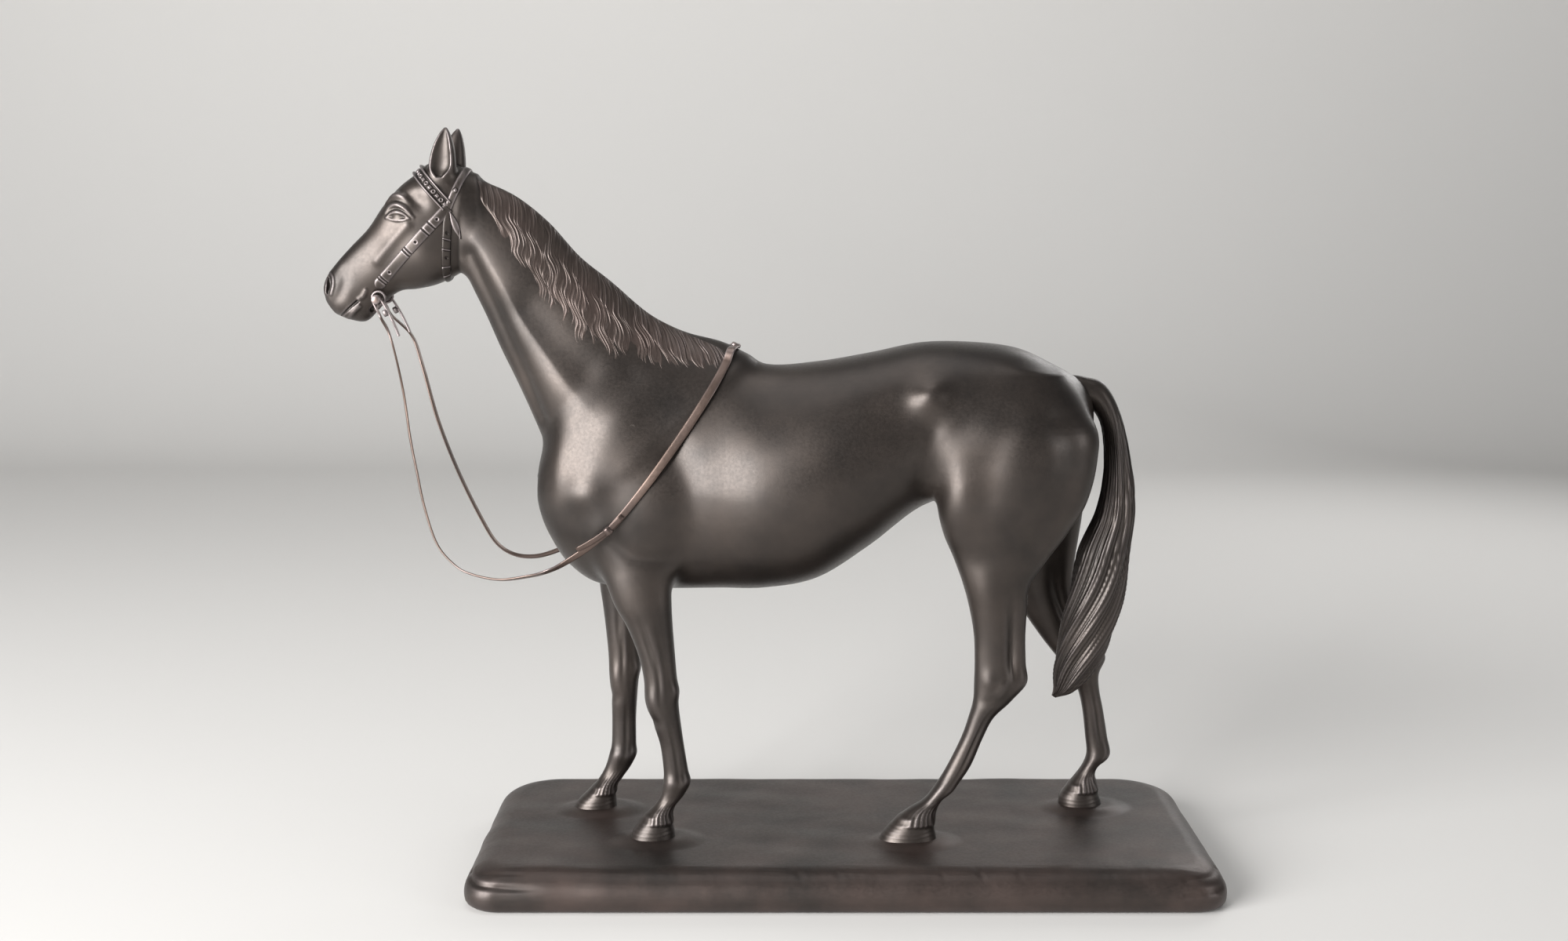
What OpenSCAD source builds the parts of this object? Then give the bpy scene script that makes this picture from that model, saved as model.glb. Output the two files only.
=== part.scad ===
// A bridled standing horse cast in bronze, on a hollow plinth.
// The head looks along -X, the near (left) side is towards -Y, and the origin is below the
// figure's middle, level with the plinth's underside. The figure is an assembly of castings:
// the body is a hollow shell, the neck is a second shell that plugs into it with a collar, and
// the head, legs and tail seat on flat faces with round dowels and cross pins. Studs, washers
// and nuts hold the hooves. The reins are formed bronze strips whose eyes turn on the ends of
// the bit.

/* [Plinth] */
// Length of the plinth, nose to tail
plinth_l = 430; // [380:1:520]
// Width of the plinth
plinth_w = 185; // [160:1:230]
// How far the plinth's middle lies to the off side of the figure's
plinth_shift = 5.5; // [0:0.5:12]
// Height of the plinth
plinth_h = 24; // [20:1:32]
// Height of the rounding along the plinth's upper edge
plinth_edge = 12; // [5:0.5:14]
// How far that rounding runs in over the top
plinth_edge_run = 17; // [8:0.5:18]
// Radius of the plinth's lower edge, inside which its rim stands flat
plinth_foot_edge = 5; // [1:0.5:5.5]
// Radius of the plinth's near corners, seen from above
plinth_corner = 19; // [18:1:30]
// Radius of the plinth's off corners, seen from above
plinth_off_corner = 32; // [18:1:40]
// Thickness of the plinth's top and side walls
plinth_wall = 8; // [6.5:0.5:9]
// Width of the rib across the underside
plinth_rib = 12; // [8:1:20]

/* [Figure] */
// Height of the withers above the plinth
withers_h = 282; // [240:1:340]
// Wall thickness of the hollow body and neck
shell_wall = 6; // [4:0.5:7.5]
// Depth of the neck's collar inside the body
collar_depth = 10; // [7:0.5:12]
// Wall thickness of the neck's collar
collar_wall = 4.5; // [3.5:0.5:5.5]
// Free space round the collar
collar_gap = 0.3; // [0.2:0.05:0.5]

/* [Dowels and pins] */
// Radius of the dowels in the legs and head
dowel_r = 4; // [3:0.1:5]
// Length of the dowels in the legs and head
dowel_l = 28; // [20:1:30]
// Radius of the tail's dowel
tail_dowel_r = 2.8; // [2:0.1:3.4]
// Length of the tail's dowel
tail_dowel_l = 22; // [16:1:24]
// Radius of the cross pins
pin_r = 1.4; // [1:0.1:1.8]
// Free space round a dowel, pin, stud or bar in its bore
bore_gap = 0.05; // [0.02:0.01:0.09]

/* [Hoof fixings] */
// Radius of the studs that stand in the hooves
stud_r = 2.5; // [2:0.1:3]
// Depth of a stud in its hoof
stud_grip = 9; // [6:0.5:10]
// Height of a nut
nut_h = 4; // [3:0.5:5]
// Width of a nut across its flats
nut_flats = 8; // [7:0.5:10]
// Radius of a washer
washer_r = 6; // [5:0.5:8]
// Thickness of a washer
washer_t = 1.2; // [0.8:0.1:1.6]

/* [Bridle and bit] */
// Thickness of the bridle's straps
strap_t = 1.1; // [0.8:0.1:1.5]
// Width of the cheekpieces
cheek_w = 6; // [4.5:0.1:7]
// Width of the browband
brow_w = 6.4; // [4.5:0.1:7]
// Width of the crownpiece
crown_w = 4.4; // [3.6:0.1:5]
// Width of the throat latch
throat_w = 4.6; // [3.5:0.1:6]
// Radius of the bit's bar
bit_r = 1.6; // [1.2:0.1:2]
// Radius of the stops on the bit's ends
bit_stop_r = 2.7; // [2.2:0.1:3.2]
// Thickness of the stops on the bit's ends
bit_stop_t = 1; // [0.8:0.1:1.4]
// Radius of a bit ring, at the middle of its wire
ring_r = 3.6; // [3:0.1:4.4]
// Radius of a bit ring's wire
ring_wire_r = 0.7; // [0.5:0.05:0.9]

/* [Reins] */
// Width of the rein strip
rein_w = 3; // [2.4:0.1:3.6]
// Thickness of the rein strip
rein_t = 0.9; // [0.7:0.05:1.1]
// Free space between the reins and the horse
rein_gap = 0.9; // [0.6:0.1:1.5]
// Free space between a rein's eye and what stands beside it
eye_side_gap = 0.4; // [0.3:0.05:0.6]
// Thickness of the keepers round the folded rein ends
keeper_t = 0.8; // [0.6:0.1:1.2]
// Length of a keeper
keeper_l = 4; // [3:0.5:6]

/* [Hidden] */
$fn = 48;

bronze = "#3a322c";
bronze_brown = "#4a3a2e";
bronze_bright = "#7a6a58";
steel = "#8d8f92";

// The figure's points are written at this withers height, measured from the plinth's top,
// and the whole figure grows or shrinks with withers_h.
drawn_withers_h = 282;
fig = withers_h / drawn_withers_h;
// Size of the half spaces and through cuts, which reach past the whole figure
big = 3.2 * withers_h;
// How far a cut runs past the face it starts from
over = 1;
corner_sides = 32;
sides_body = 24;
sides_limb = 16;
sides_head = 20;
roundness_body = 2.25;
roundness_limb = 2.1;
spline_steps = 3;

// A form is a list of sections. Each section is [x, z] of one edge, [x, z] of the other edge,
// the middle's y and the half width.
function section(p, q, y, w) = [p[0], p[1], q[0], q[1], y, w];
// An upright limb's section, from the front's x, the back's x, its height, y and half width
function limb_at(front, back, z, y, w) = section([front, z], [back, z], y, w);

torso_form = [
    section([-174, 214], [-174, 193], 0, 13),
    section([-168, 234], [-168, 171], 0, 24),
    section([-160, 252], [-160, 158], 0, 31),
    section([-145, 268], [-145, 147], 0, 35.5),
    section([-125, 276], [-125, 143.5], 0, 38.5),
    section([-100, 281], [-100, 143], 0, 40.5),
    section([-72, 285], [-72, 143.5], 0, 43.5),
    section([-45, 274], [-45, 144], 0, 47.5),
    section([-15, 275.5], [-15, 150], 0, 50),
    section([15, 280.5], [15, 169], 0, 50),
    section([45, 286.5], [45, 192], 0, 48),
    section([75, 286.5], [75, 200], 0, 46.5),
    section([100, 283], [100, 200], 0, 44),
    section([120, 274.5], [120, 205], 0, 38),
    section([134, 267], [134, 214], 0, 28),
    section([143, 258], [143, 228], 0, 14)];

neck_form = [
    section([-58, 276], [-166, 190], 0, 31),
    section([-74, 286], [-173, 214], 0, 31),
    section([-92, 293.5], [-174.5, 228], 0, 28.5),
    section([-112, 303.5], [-181.5, 248], 0, 25),
    section([-133, 321.5], [-189, 266], 0, 21.5),
    section([-151, 336], [-197, 283], 0, 19),
    section([-168, 355], [-205, 302], 0, 17),
    section([-186, 369.5], [-212, 317], 0, 15.5),
    section([-203, 377.5], [-217, 329], 0, 14.5),
    section([-214, 381], [-218, 341], 0, 13.5)];

head_form = [
    section([-212, 383], [-208, 352], 0, 11),
    section([-224, 389], [-212, 345], 0, 14),
    section([-235, 388], [-215, 330], 0, 16.5),
    section([-243, 381.5], [-222, 324.5], 0, 18),
    section([-252, 374.5], [-233, 319.5], 0, 18.5),
    section([-261.5, 364], [-244, 317], 0, 16.5),
    section([-270.5, 351.5], [-253, 316], 0, 13.5),
    section([-280.5, 341.5], [-260.5, 311.5], 0, 11.5),
    section([-289, 333], [-267, 304.5], 0, 10.3),
    section([-295.5, 325], [-274, 298.5], 0, 10),
    section([-298.2, 318], [-283, 299.5], 0, 8.5),
    section([-297.5, 311.5], [-290.5, 302.5], 0, 4.5)];

near_ear_form = [
    limb_at(-234, -219, 378, -9, 5),
    limb_at(-233.5, -218, 388, -9.5, 5.5),
    limb_at(-230.5, -219, 398, -10, 4.5),
    limb_at(-227, -221, 405, -10, 2.6),
    limb_at(-224.6, -223.4, 408, -10, 0.8)];

off_ear_form = [
    limb_at(-232, -217, 378, 9, 5),
    limb_at(-231, -216, 388, 9.5, 5.5),
    limb_at(-228, -216.5, 398, 10, 4.5),
    limb_at(-224, -218, 405, 10, 2.6),
    limb_at(-221, -219.8, 408, 10, 0.8)];

near_fore_form = [
    limb_at(-146, -88, 206, -19, 14),
    limb_at(-144, -94, 180, -22, 14),
    limb_at(-137.5, -98.5, 156, -25.5, 12.5),
    limb_at(-131.7, -98.7, 139, -27, 11.2),
    limb_at(-124.5, -98.2, 126, -27.3, 9.8),
    limb_at(-118, -97, 109, -27.6, 8.4),
    limb_at(-115, -96, 95, -28, 7.6),
    limb_at(-114, -95.3, 81, -28, 7.9),
    limb_at(-110, -94, 69, -28, 7.3),
    limb_at(-106, -92.3, 56, -28, 5.4),
    limb_at(-104.2, -90, 41, -28, 5),
    limb_at(-104.4, -89, 34, -28, 5.8),
    limb_at(-106, -92.5, 26, -28, 5.8),
    limb_at(-109.5, -98, 20, -28, 5.6),
    limb_at(-114.5, -99.5, 14, -28, 7.5),
    limb_at(-121.5, -99, 6, -28, 9.8),
    limb_at(-124.5, -97.5, 0, -28, 10.8)];

off_fore_form = [
    limb_at(-146, -88, 206, 19, 14),
    limb_at(-147, -98, 180, 22, 14),
    limb_at(-146, -107, 156, 25, 12.5),
    limb_at(-145, -112, 139, 26.5, 11.2),
    limb_at(-143.3, -117, 126, 26.5, 9.8),
    limb_at(-141.5, -120.5, 109, 26.5, 8.4),
    limb_at(-140.4, -121.5, 95, 26.5, 7.6),
    limb_at(-139.8, -122.5, 81, 26.5, 7.9),
    limb_at(-139, -123.5, 69, 26.5, 7.3),
    limb_at(-138.8, -124.3, 56, 26.5, 5.4),
    limb_at(-139.2, -124.4, 41, 26.5, 5),
    limb_at(-140.6, -124.6, 34, 26.5, 5.8),
    limb_at(-143.2, -128, 26, 26.5, 5.8),
    limb_at(-146.3, -133, 20, 26.5, 5.6),
    limb_at(-150.5, -136.8, 14, 26.5, 7.5),
    limb_at(-159, -137, 6, 26.5, 9.8),
    limb_at(-163.5, -136.6, 0, 26.5, 10.8)];

near_hind_form = [
    limb_at(78, 128, 262, -22, 16),
    limb_at(60, 143, 241, -25.5, 20.5),
    limb_at(54, 143, 221, -26.5, 21),
    limb_at(52.3, 137, 198, -28, 18.5),
    limb_at(56, 126.5, 181, -29.5, 15.5),
    limb_at(62, 116, 166, -30, 13.2),
    limb_at(67.5, 105, 151, -30.5, 11.5),
    limb_at(71.5, 104, 136, -30.5, 10),
    limb_at(74, 103.3, 121, -30.5, 8.8),
    limb_at(74.6, 103.8, 106, -30.5, 8),
    limb_at(74.5, 104.5, 94, -30.5, 8),
    limb_at(74, 96, 83, -30.5, 7.6),
    limb_at(71.5, 84, 73, -30.5, 6.4),
    limb_at(67.5, 77, 61, -30.5, 5.6),
    limb_at(59.5, 70.4, 44, -30.5, 5.2),
    limb_at(51.8, 62, 31, -30.5, 6),
    limb_at(46, 57, 24, -30.5, 6),
    limb_at(37, 53.5, 19, -30.5, 6.5),
    limb_at(30, 52.5, 13, -30.5, 8.5),
    limb_at(22.5, 53, 5, -30.5, 10.8),
    limb_at(20, 54.4, 0, -30.5, 11.5)];

off_hind_form = [
    limb_at(78, 128, 262, 22, 16),
    limb_at(62, 143, 241, 25.5, 20.5),
    limb_at(58, 143, 221, 26.5, 21),
    limb_at(64, 140, 198, 28, 18.5),
    limb_at(74, 134, 181, 29.5, 15.5),
    limb_at(84, 130, 166, 30, 13.2),
    limb_at(93, 130, 151, 30, 11.5),
    limb_at(101.5, 133, 136, 30, 10),
    limb_at(110.5, 141, 121, 30, 8.8),
    limb_at(121, 152, 106, 30, 8),
    limb_at(130.5, 160, 94, 30, 8),
    limb_at(139, 156.5, 83, 30, 7.6),
    limb_at(144, 157, 73, 30, 6.4),
    limb_at(147, 159.5, 61, 30, 5.6),
    limb_at(149.2, 162.5, 44, 30, 5.2),
    limb_at(150.3, 164.5, 33, 30, 6),
    limb_at(148, 158, 26, 30, 6),
    limb_at(144, 155, 20, 30, 6.2),
    limb_at(139, 156.5, 13, 30, 8.5),
    limb_at(132.5, 159, 5, 30, 10.5),
    limb_at(133.5, 160.4, 0, 30, 11)];

tail_form = [
    section([136, 268], [131, 252], 0, 7),
    section([150.8, 262], [142, 249], 0, 8),
    section([160.3, 244], [149, 237], 0, 9),
    section([167, 216.6], [151.5, 212], 0, 11),
    section([170, 189], [150.5, 188], 0, 12.5),
    section([168, 166], [143, 166], 0, 13.5),
    section([165, 137.6], [139.3, 137.6], 0, 13),
    section([159.3, 111.7], [134, 114], 0, 11),
    section([150.5, 94], [128.5, 96], 0, 9),
    section([137, 80], [124, 82.5], 0, 6),
    section([125, 75], [122.5, 77.5], 0, 1.5)];

// Where the castings part: one level plane above the knees and hocks, one upright plane behind
// the ears, one slanting plane from the withers to the breast and one behind the croup
leg_joint_z = 136 * fig;
head_joint_x = -210 * fig;
neck_joint_at = [-122 * fig, 246 * fig];
neck_joint_tilt = 34.2;
tail_joint_at = [139 * fig, 258 * fig];
tail_joint_tilt = 19;
tail_seat_w = 20 * fig;
tail_seat_h = 32 * fig;

// Each leg: its form, the dowel's [x, y] and the stud's [x, y]
legs = [
    [near_fore_form, [-113.5, -27.2] * fig, [-111, -28] * fig],
    [off_fore_form, [-129, 26.5] * fig, [-149, 26.5] * fig],
    [near_hind_form, [88.5, -30.5] * fig, [38, -30.5] * fig],
    [off_hind_form, [118.5, 30] * fig, [147, 30] * fig]];
// Height of a leg's cross pins above and below its joint, and how far their ends lie in from the skin
leg_pin_rise = 7 * fig;
pin_sunk = 1.2;
pin_bore_run = 4;

// Head dowel and pins
head_dowel_z = 355 * fig;
head_pin_reach = 7 * fig;
head_pin_half = 11 * fig;

// The bit's bar and what is threaded on it, from the cheek outwards
bit_at = [-265 * fig, 311.5 * fig];
ring_y = 10.3 * fig;
// A ring rests back and up on the bar by these shares of its free space
ring_rest = [0.54, 0.62];
ring_shift = (ring_r - ring_wire_r - bit_r) * ring_rest;
eye_from_y = ring_y + ring_wire_r + eye_side_gap;
eye_mid_y = eye_from_y + rein_w / 2;
stop_from_y = eye_from_y + rein_w + eye_side_gap;
eye_bore_r = bit_r + bore_gap;
eye_r = eye_bore_r + rein_t;

// Strap lines on the head, as [x, z] points on its side
strap_meet = [-222.5, 363] * fig;
brow_top = [-241.5, 384] * fig;
crown_top = [-213, 385] * fig;
cheek_foot = [-264.5, 319.5] * fig;
throat_foot = [-224, 300] * fig;
// The upper straps' outlines run on past the head's ridge by this share
ridge_run = 1.4;

// Interpolated sections along a form
function spline(a, b, c, d, t) =
    0.5 * (2 * b + (c - a) * t + (2 * a - 5 * b + 4 * c - d) * t * t
           + (3 * b - a - 3 * c + d) * t * t * t);
function smooth(form, steps = spline_steps) =
    let (last = len(form) - 1)
    [for (i = [0 : last], k = [0 : (i < last ? steps - 1 : 0)])
        i == last ? form[last]
        : spline(form[max(i - 1, 0)], form[i], form[i + 1], form[min(i + 2, last)], k / steps)];
function part_of(form, first, final) = [for (i = [first : final]) form[i]];

// Points of one section: a rounded oval between its two edges, grown by a margin
function power(v, e) = sign(v) * pow(abs(v), e);
function edge_dir(s) = let (d = [s[0] - s[2], s[1] - s[3]]) d / norm(d);
function section_ring(s, sides, roundness, grow) =
    let (d = edge_dir(s),
         half = norm([s[0] - s[2], s[1] - s[3]]) / 2 * fig + grow,
         wide = s[5] * fig + grow,
         cx = (s[0] + s[2]) / 2 * fig,
         cz = (s[1] + s[3]) / 2 * fig)
    [for (i = [0 : sides - 1])
        let (u = power(cos(360 * i / sides), 2 / roundness) * half,
             v = power(sin(360 * i / sides), 2 / roundness) * wide)
        [cx + d[0] * u, s[4] * fig + v, cz + d[1] * u]];

// Faces of a skin through equal rings, closed by flat ends
function skin_faces(rings, sides, flip) =
    let (walls = [for (r = [0 : rings - 2], i = [0 : sides - 1])
                     let (a = r * sides + i,
                          b = r * sides + (i + 1) % sides)
                     each [[a, b, b + sides], [a, b + sides, a + sides]]],
         ends = [[for (i = [sides - 1 : -1 : 0]) i],
                 [for (i = [0 : sides - 1]) (rings - 1) * sides + i]],
         all = concat(walls, ends))
    [for (f = all) flip ? [for (i = [len(f) - 1 : -1 : 0]) f[i]] : f];

module skin(rings, flip) {
    sides = len(rings[0]);
    polyhedron([for (r = rings) each r], skin_faces(len(rings), sides, flip));
}

// A solid lofted through the sections of a form
module loft(form, sides, roundness, grow = 0) {
    s = smooth(form);
    d = edge_dir(s[0]);
    run = [s[1][0] + s[1][2] - s[0][0] - s[0][2], s[1][1] + s[1][3] - s[0][1] - s[0][3]];
    skin([for (each_s = s) section_ring(each_s, sides, roundness, grow)],
         run[1] * d[0] - run[0] * d[1] > 0);
}

// Joins or cuts its children as one skin
module fused() { resize([0, 0, 0]) children(); }

// Half spaces on each side of the parting planes, with the figure standing on z = 0
module below_leg_joint() { translate([-big / 2, -big / 2, leg_joint_z - big]) cube(big); }
module above_leg_joint() { translate([-big / 2, -big / 2, leg_joint_z]) cube(big); }
module head_side() { translate([head_joint_x - big, -big / 2, -big / 2]) cube(big); }
module neck_frame() {
    translate([neck_joint_at[0], 0, neck_joint_at[1]]) rotate([0, -neck_joint_tilt, 0]) children();
}
module neck_side(rise = 0) { neck_frame() translate([-big / 2, -big / 2, rise]) cube(big); }
module body_side(rise = 0) { neck_frame() translate([-big / 2, -big / 2, rise - big]) cube(big); }
module tail_frame() {
    translate([tail_joint_at[0], 0, tail_joint_at[1]]) rotate([0, 90 + tail_joint_tilt, 0]) children();
}
module tail_seat() {
    tail_frame() translate([-tail_seat_h / 2, -tail_seat_w / 2, 0]) cube([tail_seat_h, tail_seat_w, big]);
}
module tail_side() { tail_frame() translate([-big / 2, -big / 2, 0]) cube(big); }

// The body's and neck's shared form: outside at 0, and inside at minus a wall
module trunk(grow = 0) {
    loft(torso_form, sides_body, roundness_body, grow);
    loft(neck_form, sides_body, roundness_body, grow);
}
// The space inside the trunk, which stops short of the breast, the croup and the poll
module trunk_space(wall) {
    loft(part_of(torso_form, 1, len(torso_form) - 4), sides_body, roundness_body, -wall);
    loft(part_of(neck_form, 0, 6), sides_body, roundness_body, -wall);
}
module limb(form) { loft(form, sides_limb, roundness_limb); }

// Half width of the body at a place on its side
function torso_at(x) =
    let (last = len(torso_form) - 1,
         near = [for (i = [0 : last - 1]) if (torso_form[i][0] <= x && x <= torso_form[i + 1][0]) i][0],
         t = (x - torso_form[near][0]) / (torso_form[near + 1][0] - torso_form[near][0]))
    spline(torso_form[max(near - 1, 0)], torso_form[near], torso_form[near + 1],
           torso_form[min(near + 2, last)], t);
function body_side_y(x, z) =
    let (s = torso_at(x / fig),
         rise = abs(z / fig - (s[1] + s[3]) / 2) / ((s[1] - s[3]) / 2))
    fig * s[5] * pow(max(1 - pow(min(rise, 1), roundness_body), 0), 1 / roundness_body);

// Everything above the plinth stands on its top
module on_plinth() { translate([0, 0, plinth_h]) children(); }

module cross_pin(x, z, half) { translate([x, half, z]) rotate([90, 0, 0]) cylinder(r = pin_r, h = 2 * half); }
module cross_bore(x, z) {
    translate([x, big / 4, z]) rotate([90, 0, 0]) cylinder(r = pin_r + bore_gap, h = big / 2);
}

// Half width of a limb at a height, from the section next below it
function limb_half(form, z) =
    let (under = [for (s = form) if (s[1] * fig <= z) s[5]]) under[0] * fig;

// The plinth's near and off corners, as side and radius
plinth_corners = [[-1, plinth_corner], [1, plinth_off_corner]];
// Puts children at a corner's middle
module at_corner(end, corner) {
    x = end * (plinth_l / 2 - corner[1]);
    y = plinth_shift + corner[0] * (plinth_w / 2 - corner[1]);
    translate([x, y, 0]) children();
}
// The inside of the plinth's walls, seen from above
module plinth_inside() {
    hull()
        for (end = [-1, 1], corner = plinth_corners)
            at_corner(end, corner) circle(corner[1] - plinth_wall, $fn = corner_sides);
}
module base_plinth() {
    hollow = [plinth_l / 2 - plinth_rib / 2, plinth_w];
    // Run, height and middle of the upper and lower rounded edges
    rims = [[plinth_edge_run, plinth_edge, plinth_h - plinth_edge],
            [plinth_foot_edge, plinth_foot_edge, plinth_foot_edge]];
    color(bronze)
    difference() {
        hull()
            for (end = [-1, 1], corner = plinth_corners, rim = rims)
                at_corner(end, corner) translate([0, 0, rim[2]])
                    rotate_extrude($fn = corner_sides)
                        translate([corner[1] - rim[0], 0])
                            intersection() {
                                scale([rim[0], rim[1]]) circle(1);
                                translate([0, -rim[1]]) square([rim[0], 2 * rim[1]]);
                            }
        for (end = [-1, 1])
            translate([0, 0, -over]) linear_extrude(plinth_h - plinth_wall + over)
                intersection() {
                    plinth_inside();
                    translate([end * (plinth_rib + hollow[0]) / 2, plinth_shift])
                        square(hollow, center = true);
                }
        for (leg = legs)
            translate([leg[2][0], leg[2][1], 0]) cylinder(r = stud_r + bore_gap, h = plinth_h + over);
    }
}

module torso() {
    color(bronze) on_plinth()
    difference() {
        fused() difference() {
            union() {
                intersection() { trunk(); body_side(); }
                for (leg = legs)
                    intersection() { limb(leg[0]); above_leg_joint(); }
            }
            trunk_space(shell_wall);
            neck_side();
            tail_seat();
        }
        for (leg = legs) {
            translate([leg[1][0], leg[1][1], leg_joint_z - over])
                cylinder(r = dowel_r + bore_gap, h = dowel_l / 2 + over + bore_gap);
            leg_pin_bore(leg, leg_pin_rise);
        }
        tail_frame() translate([0, 0, -tail_dowel_l / 2 - bore_gap])
            cylinder(r = tail_dowel_r + bore_gap, h = tail_dowel_l);
        neck_pin_bores();
    }
}

module neck() {
    color(bronze_brown) on_plinth()
    difference() {
        fused() difference() {
            union() {
                intersection() { trunk(); neck_side(); }
                intersection() {
                    trunk_space(shell_wall + collar_gap);
                    body_side(over);
                    neck_side(-collar_depth);
                }
            }
            intersection() { trunk_space(shell_wall); neck_side(collar_depth); }
            trunk_space(shell_wall + collar_wall);
            head_side();
        }
        head_dowel_bore();
        cross_bore(head_joint_x + head_pin_reach, head_dowel_z);
        neck_pin_bores();
    }
}

module head() {
    color(bronze) on_plinth()
    difference() {
        fused() intersection() { head_skin(); head_side(); }
        head_dowel_bore();
        cross_bore(head_joint_x - head_pin_reach, head_dowel_z);
        translate([bit_at[0], big / 4, bit_at[1]]) rotate([90, 0, 0])
            cylinder(r = bit_r + bore_gap, h = big / 2);
    }
}
module head_skin(grow = 0) {
    loft(head_form, sides_head, roundness_limb, grow);
    loft(part_of(neck_form, 6, len(neck_form) - 1), sides_head, roundness_limb, grow);
    loft(near_ear_form, sides_limb, roundness_limb);
    loft(off_ear_form, sides_limb, roundness_limb);
}
module head_dowel_bore() {
    translate([head_joint_x - dowel_l / 2 - bore_gap, 0, head_dowel_z]) rotate([0, 90, 0])
        cylinder(r = dowel_r + bore_gap, h = dowel_l + 2 * bore_gap);
}

module leg_casting(leg) {
    color(bronze) on_plinth()
    difference() {
        fused() intersection() { limb(leg[0]); below_leg_joint(); }
        translate([leg[1][0], leg[1][1], leg_joint_z - dowel_l / 2 - bore_gap])
            cylinder(r = dowel_r + bore_gap, h = dowel_l);
        leg_pin_bore(leg, -leg_pin_rise);
        translate([leg[2][0], leg[2][1], -over])
            cylinder(r = stud_r + bore_gap, h = stud_grip + over + bore_gap);
    }
}
module leg_pin_bore(leg, rise) {
    half = limb_half(leg[0], leg_joint_z + rise) + pin_bore_run;
    translate([leg[1][0], leg[1][1] + half, leg_joint_z + rise]) rotate([90, 0, 0])
        cylinder(r = pin_r + bore_gap, h = 2 * half);
}
module near_fore_leg() { leg_casting(legs[0]); }
module off_fore_leg() { leg_casting(legs[1]); }
module near_hind_leg() { leg_casting(legs[2]); }
module off_hind_leg() { leg_casting(legs[3]); }

module tail() {
    color(bronze) on_plinth()
    difference() {
        fused() intersection() { loft(tail_form, sides_limb, roundness_limb); tail_side(); }
        tail_frame() translate([0, 0, -over])
            cylinder(r = tail_dowel_r + bore_gap, h = tail_dowel_l / 2 + over + bore_gap);
        tail_pin_bore();
    }
}

// Flat outlines on the head's side, for the straps
module strap_line(from, to, w) {
    run = to - from;
    translate(from) rotate(atan2(run[1], run[0])) translate([0, -w / 2]) square([norm(run), w]);
}
module brow_outline() { strap_line(strap_meet, strap_meet + (brow_top - strap_meet) * ridge_run, brow_w); }
module crown_outline() { strap_line(strap_meet, strap_meet + (crown_top - strap_meet) * ridge_run, crown_w); }
module cheek_outline() { strap_line(strap_meet, cheek_foot, cheek_w); }
module throat_outline() { strap_line(strap_meet, throat_foot, throat_w); }
// A skin as thick as a strap over the head, kept only inside an outline and between two y values
module strap(from_y, to_y) {
    color(bronze_brown) on_plinth()
    fused() difference() {
        intersection() {
            head_skin(strap_t);
            rotate([90, 0, 0]) translate([0, 0, -to_y]) linear_extrude(to_y - from_y) children();
            head_side();
        }
        head_skin();
    }
}
module browband() { strap(-big / 4, big / 4) brow_outline(); }
module crownpiece() {
    strap(-big / 4, big / 4) difference() { crown_outline(); brow_outline(); }
}
module cheekpiece(from_y, to_y) {
    strap(from_y, to_y) difference() { cheek_outline(); brow_outline(); crown_outline(); }
}
module near_cheekpiece() { cheekpiece(-big / 4, 0); }
module off_cheekpiece() { cheekpiece(0, big / 4); }
module throat_latch() {
    strap(-big / 4, big / 4)
        difference() { throat_outline(); brow_outline(); crown_outline(); cheek_outline(); }
}

module on_bit() { on_plinth() translate([bit_at[0], 0, bit_at[1]]) rotate([90, 0, 0]) children(); }
module bit_mouthpiece() {
    color(bronze_bright) on_bit() {
        translate([0, 0, -stop_from_y]) cylinder(r = bit_r, h = 2 * stop_from_y);
        for (end = [-stop_from_y - bit_stop_t, stop_from_y])
            translate([0, 0, end]) cylinder(r = bit_stop_r, h = bit_stop_t);
    }
}
module bit_ring(side) {
    color(bronze) on_bit() translate([ring_shift[0], ring_shift[1], side * ring_y])
        rotate_extrude() translate([ring_r, 0]) circle(ring_wire_r);
}
module near_bit_ring() { bit_ring(1); }
module off_bit_ring() { bit_ring(-1); }

// Points of a rein as [x, y, z, roll, lift]. Roll 0 lies with the strip's width across the horse and
// roll 90 with its face outwards; lift turns that outward face from the side, 0, to straight up, 90.
// On the shoulder, y comes from the body's own width.
function lying(x, z, lift) =
    [x, (body_side_y(x * fig, z * fig) + rein_gap + rein_t / 2) / fig, z, 90, lift];
near_hang = [
    [-259.5, 13, 302, 0, 0], [-255, 13.5, 290, 0, 0], [-251, 15, 261, 0, 0], [-247.5, 16.5, 233, 0, 0],
    [-244, 18, 214, 0, 0], [-240, 19.5, 194, 0, 0], [-233, 22, 173, 5, 0], [-223, 25, 161.5, 10, 0],
    [-213, 28, 156.5, 20, 0], [-196, 32, 154, 40, 0], [-178, 36, 157, 65, 0]];
off_hang = [
    [-259, 13.5, 302, 0, 0], [-252, 15, 288, 0, 0], [-246, 17, 270, 0, 0], [-238, 19, 239, 0, 0],
    [-227, 22, 207, 5, 0], [-214, 26, 177, 10, 0], [-206, 29, 163, 25, 0], [-196, 32, 156, 40, 0],
    [-184, 35, 154.5, 60, 0], [-172, 37, 157, 70, 0]];
shoulder_lie = [
    [-160, 38.5, 164.5, 80, 0], [-142, 40, 176, 90, 0], [-128, 41, 189, 90, 0], lying(-110, 211, 0),
    lying(-92, 236, 8), lying(-80, 254, 20), lying(-73, 265, 31)];
withers_lie = [[-67.5, 25.5, 277.5, 90, 45], [-64.5, 14.5, 283, 90, 70]];
withers_top = [-62, 284.5];
// The strip leaves its eye this far behind the bar's middle
eye_exit = 0.5;
// The buckle that joins the two reins on the withers
buckle_l = 5;
buckle_w = 6;
buckle_h = 2.2;
buckle_tilt = 22;

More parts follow.
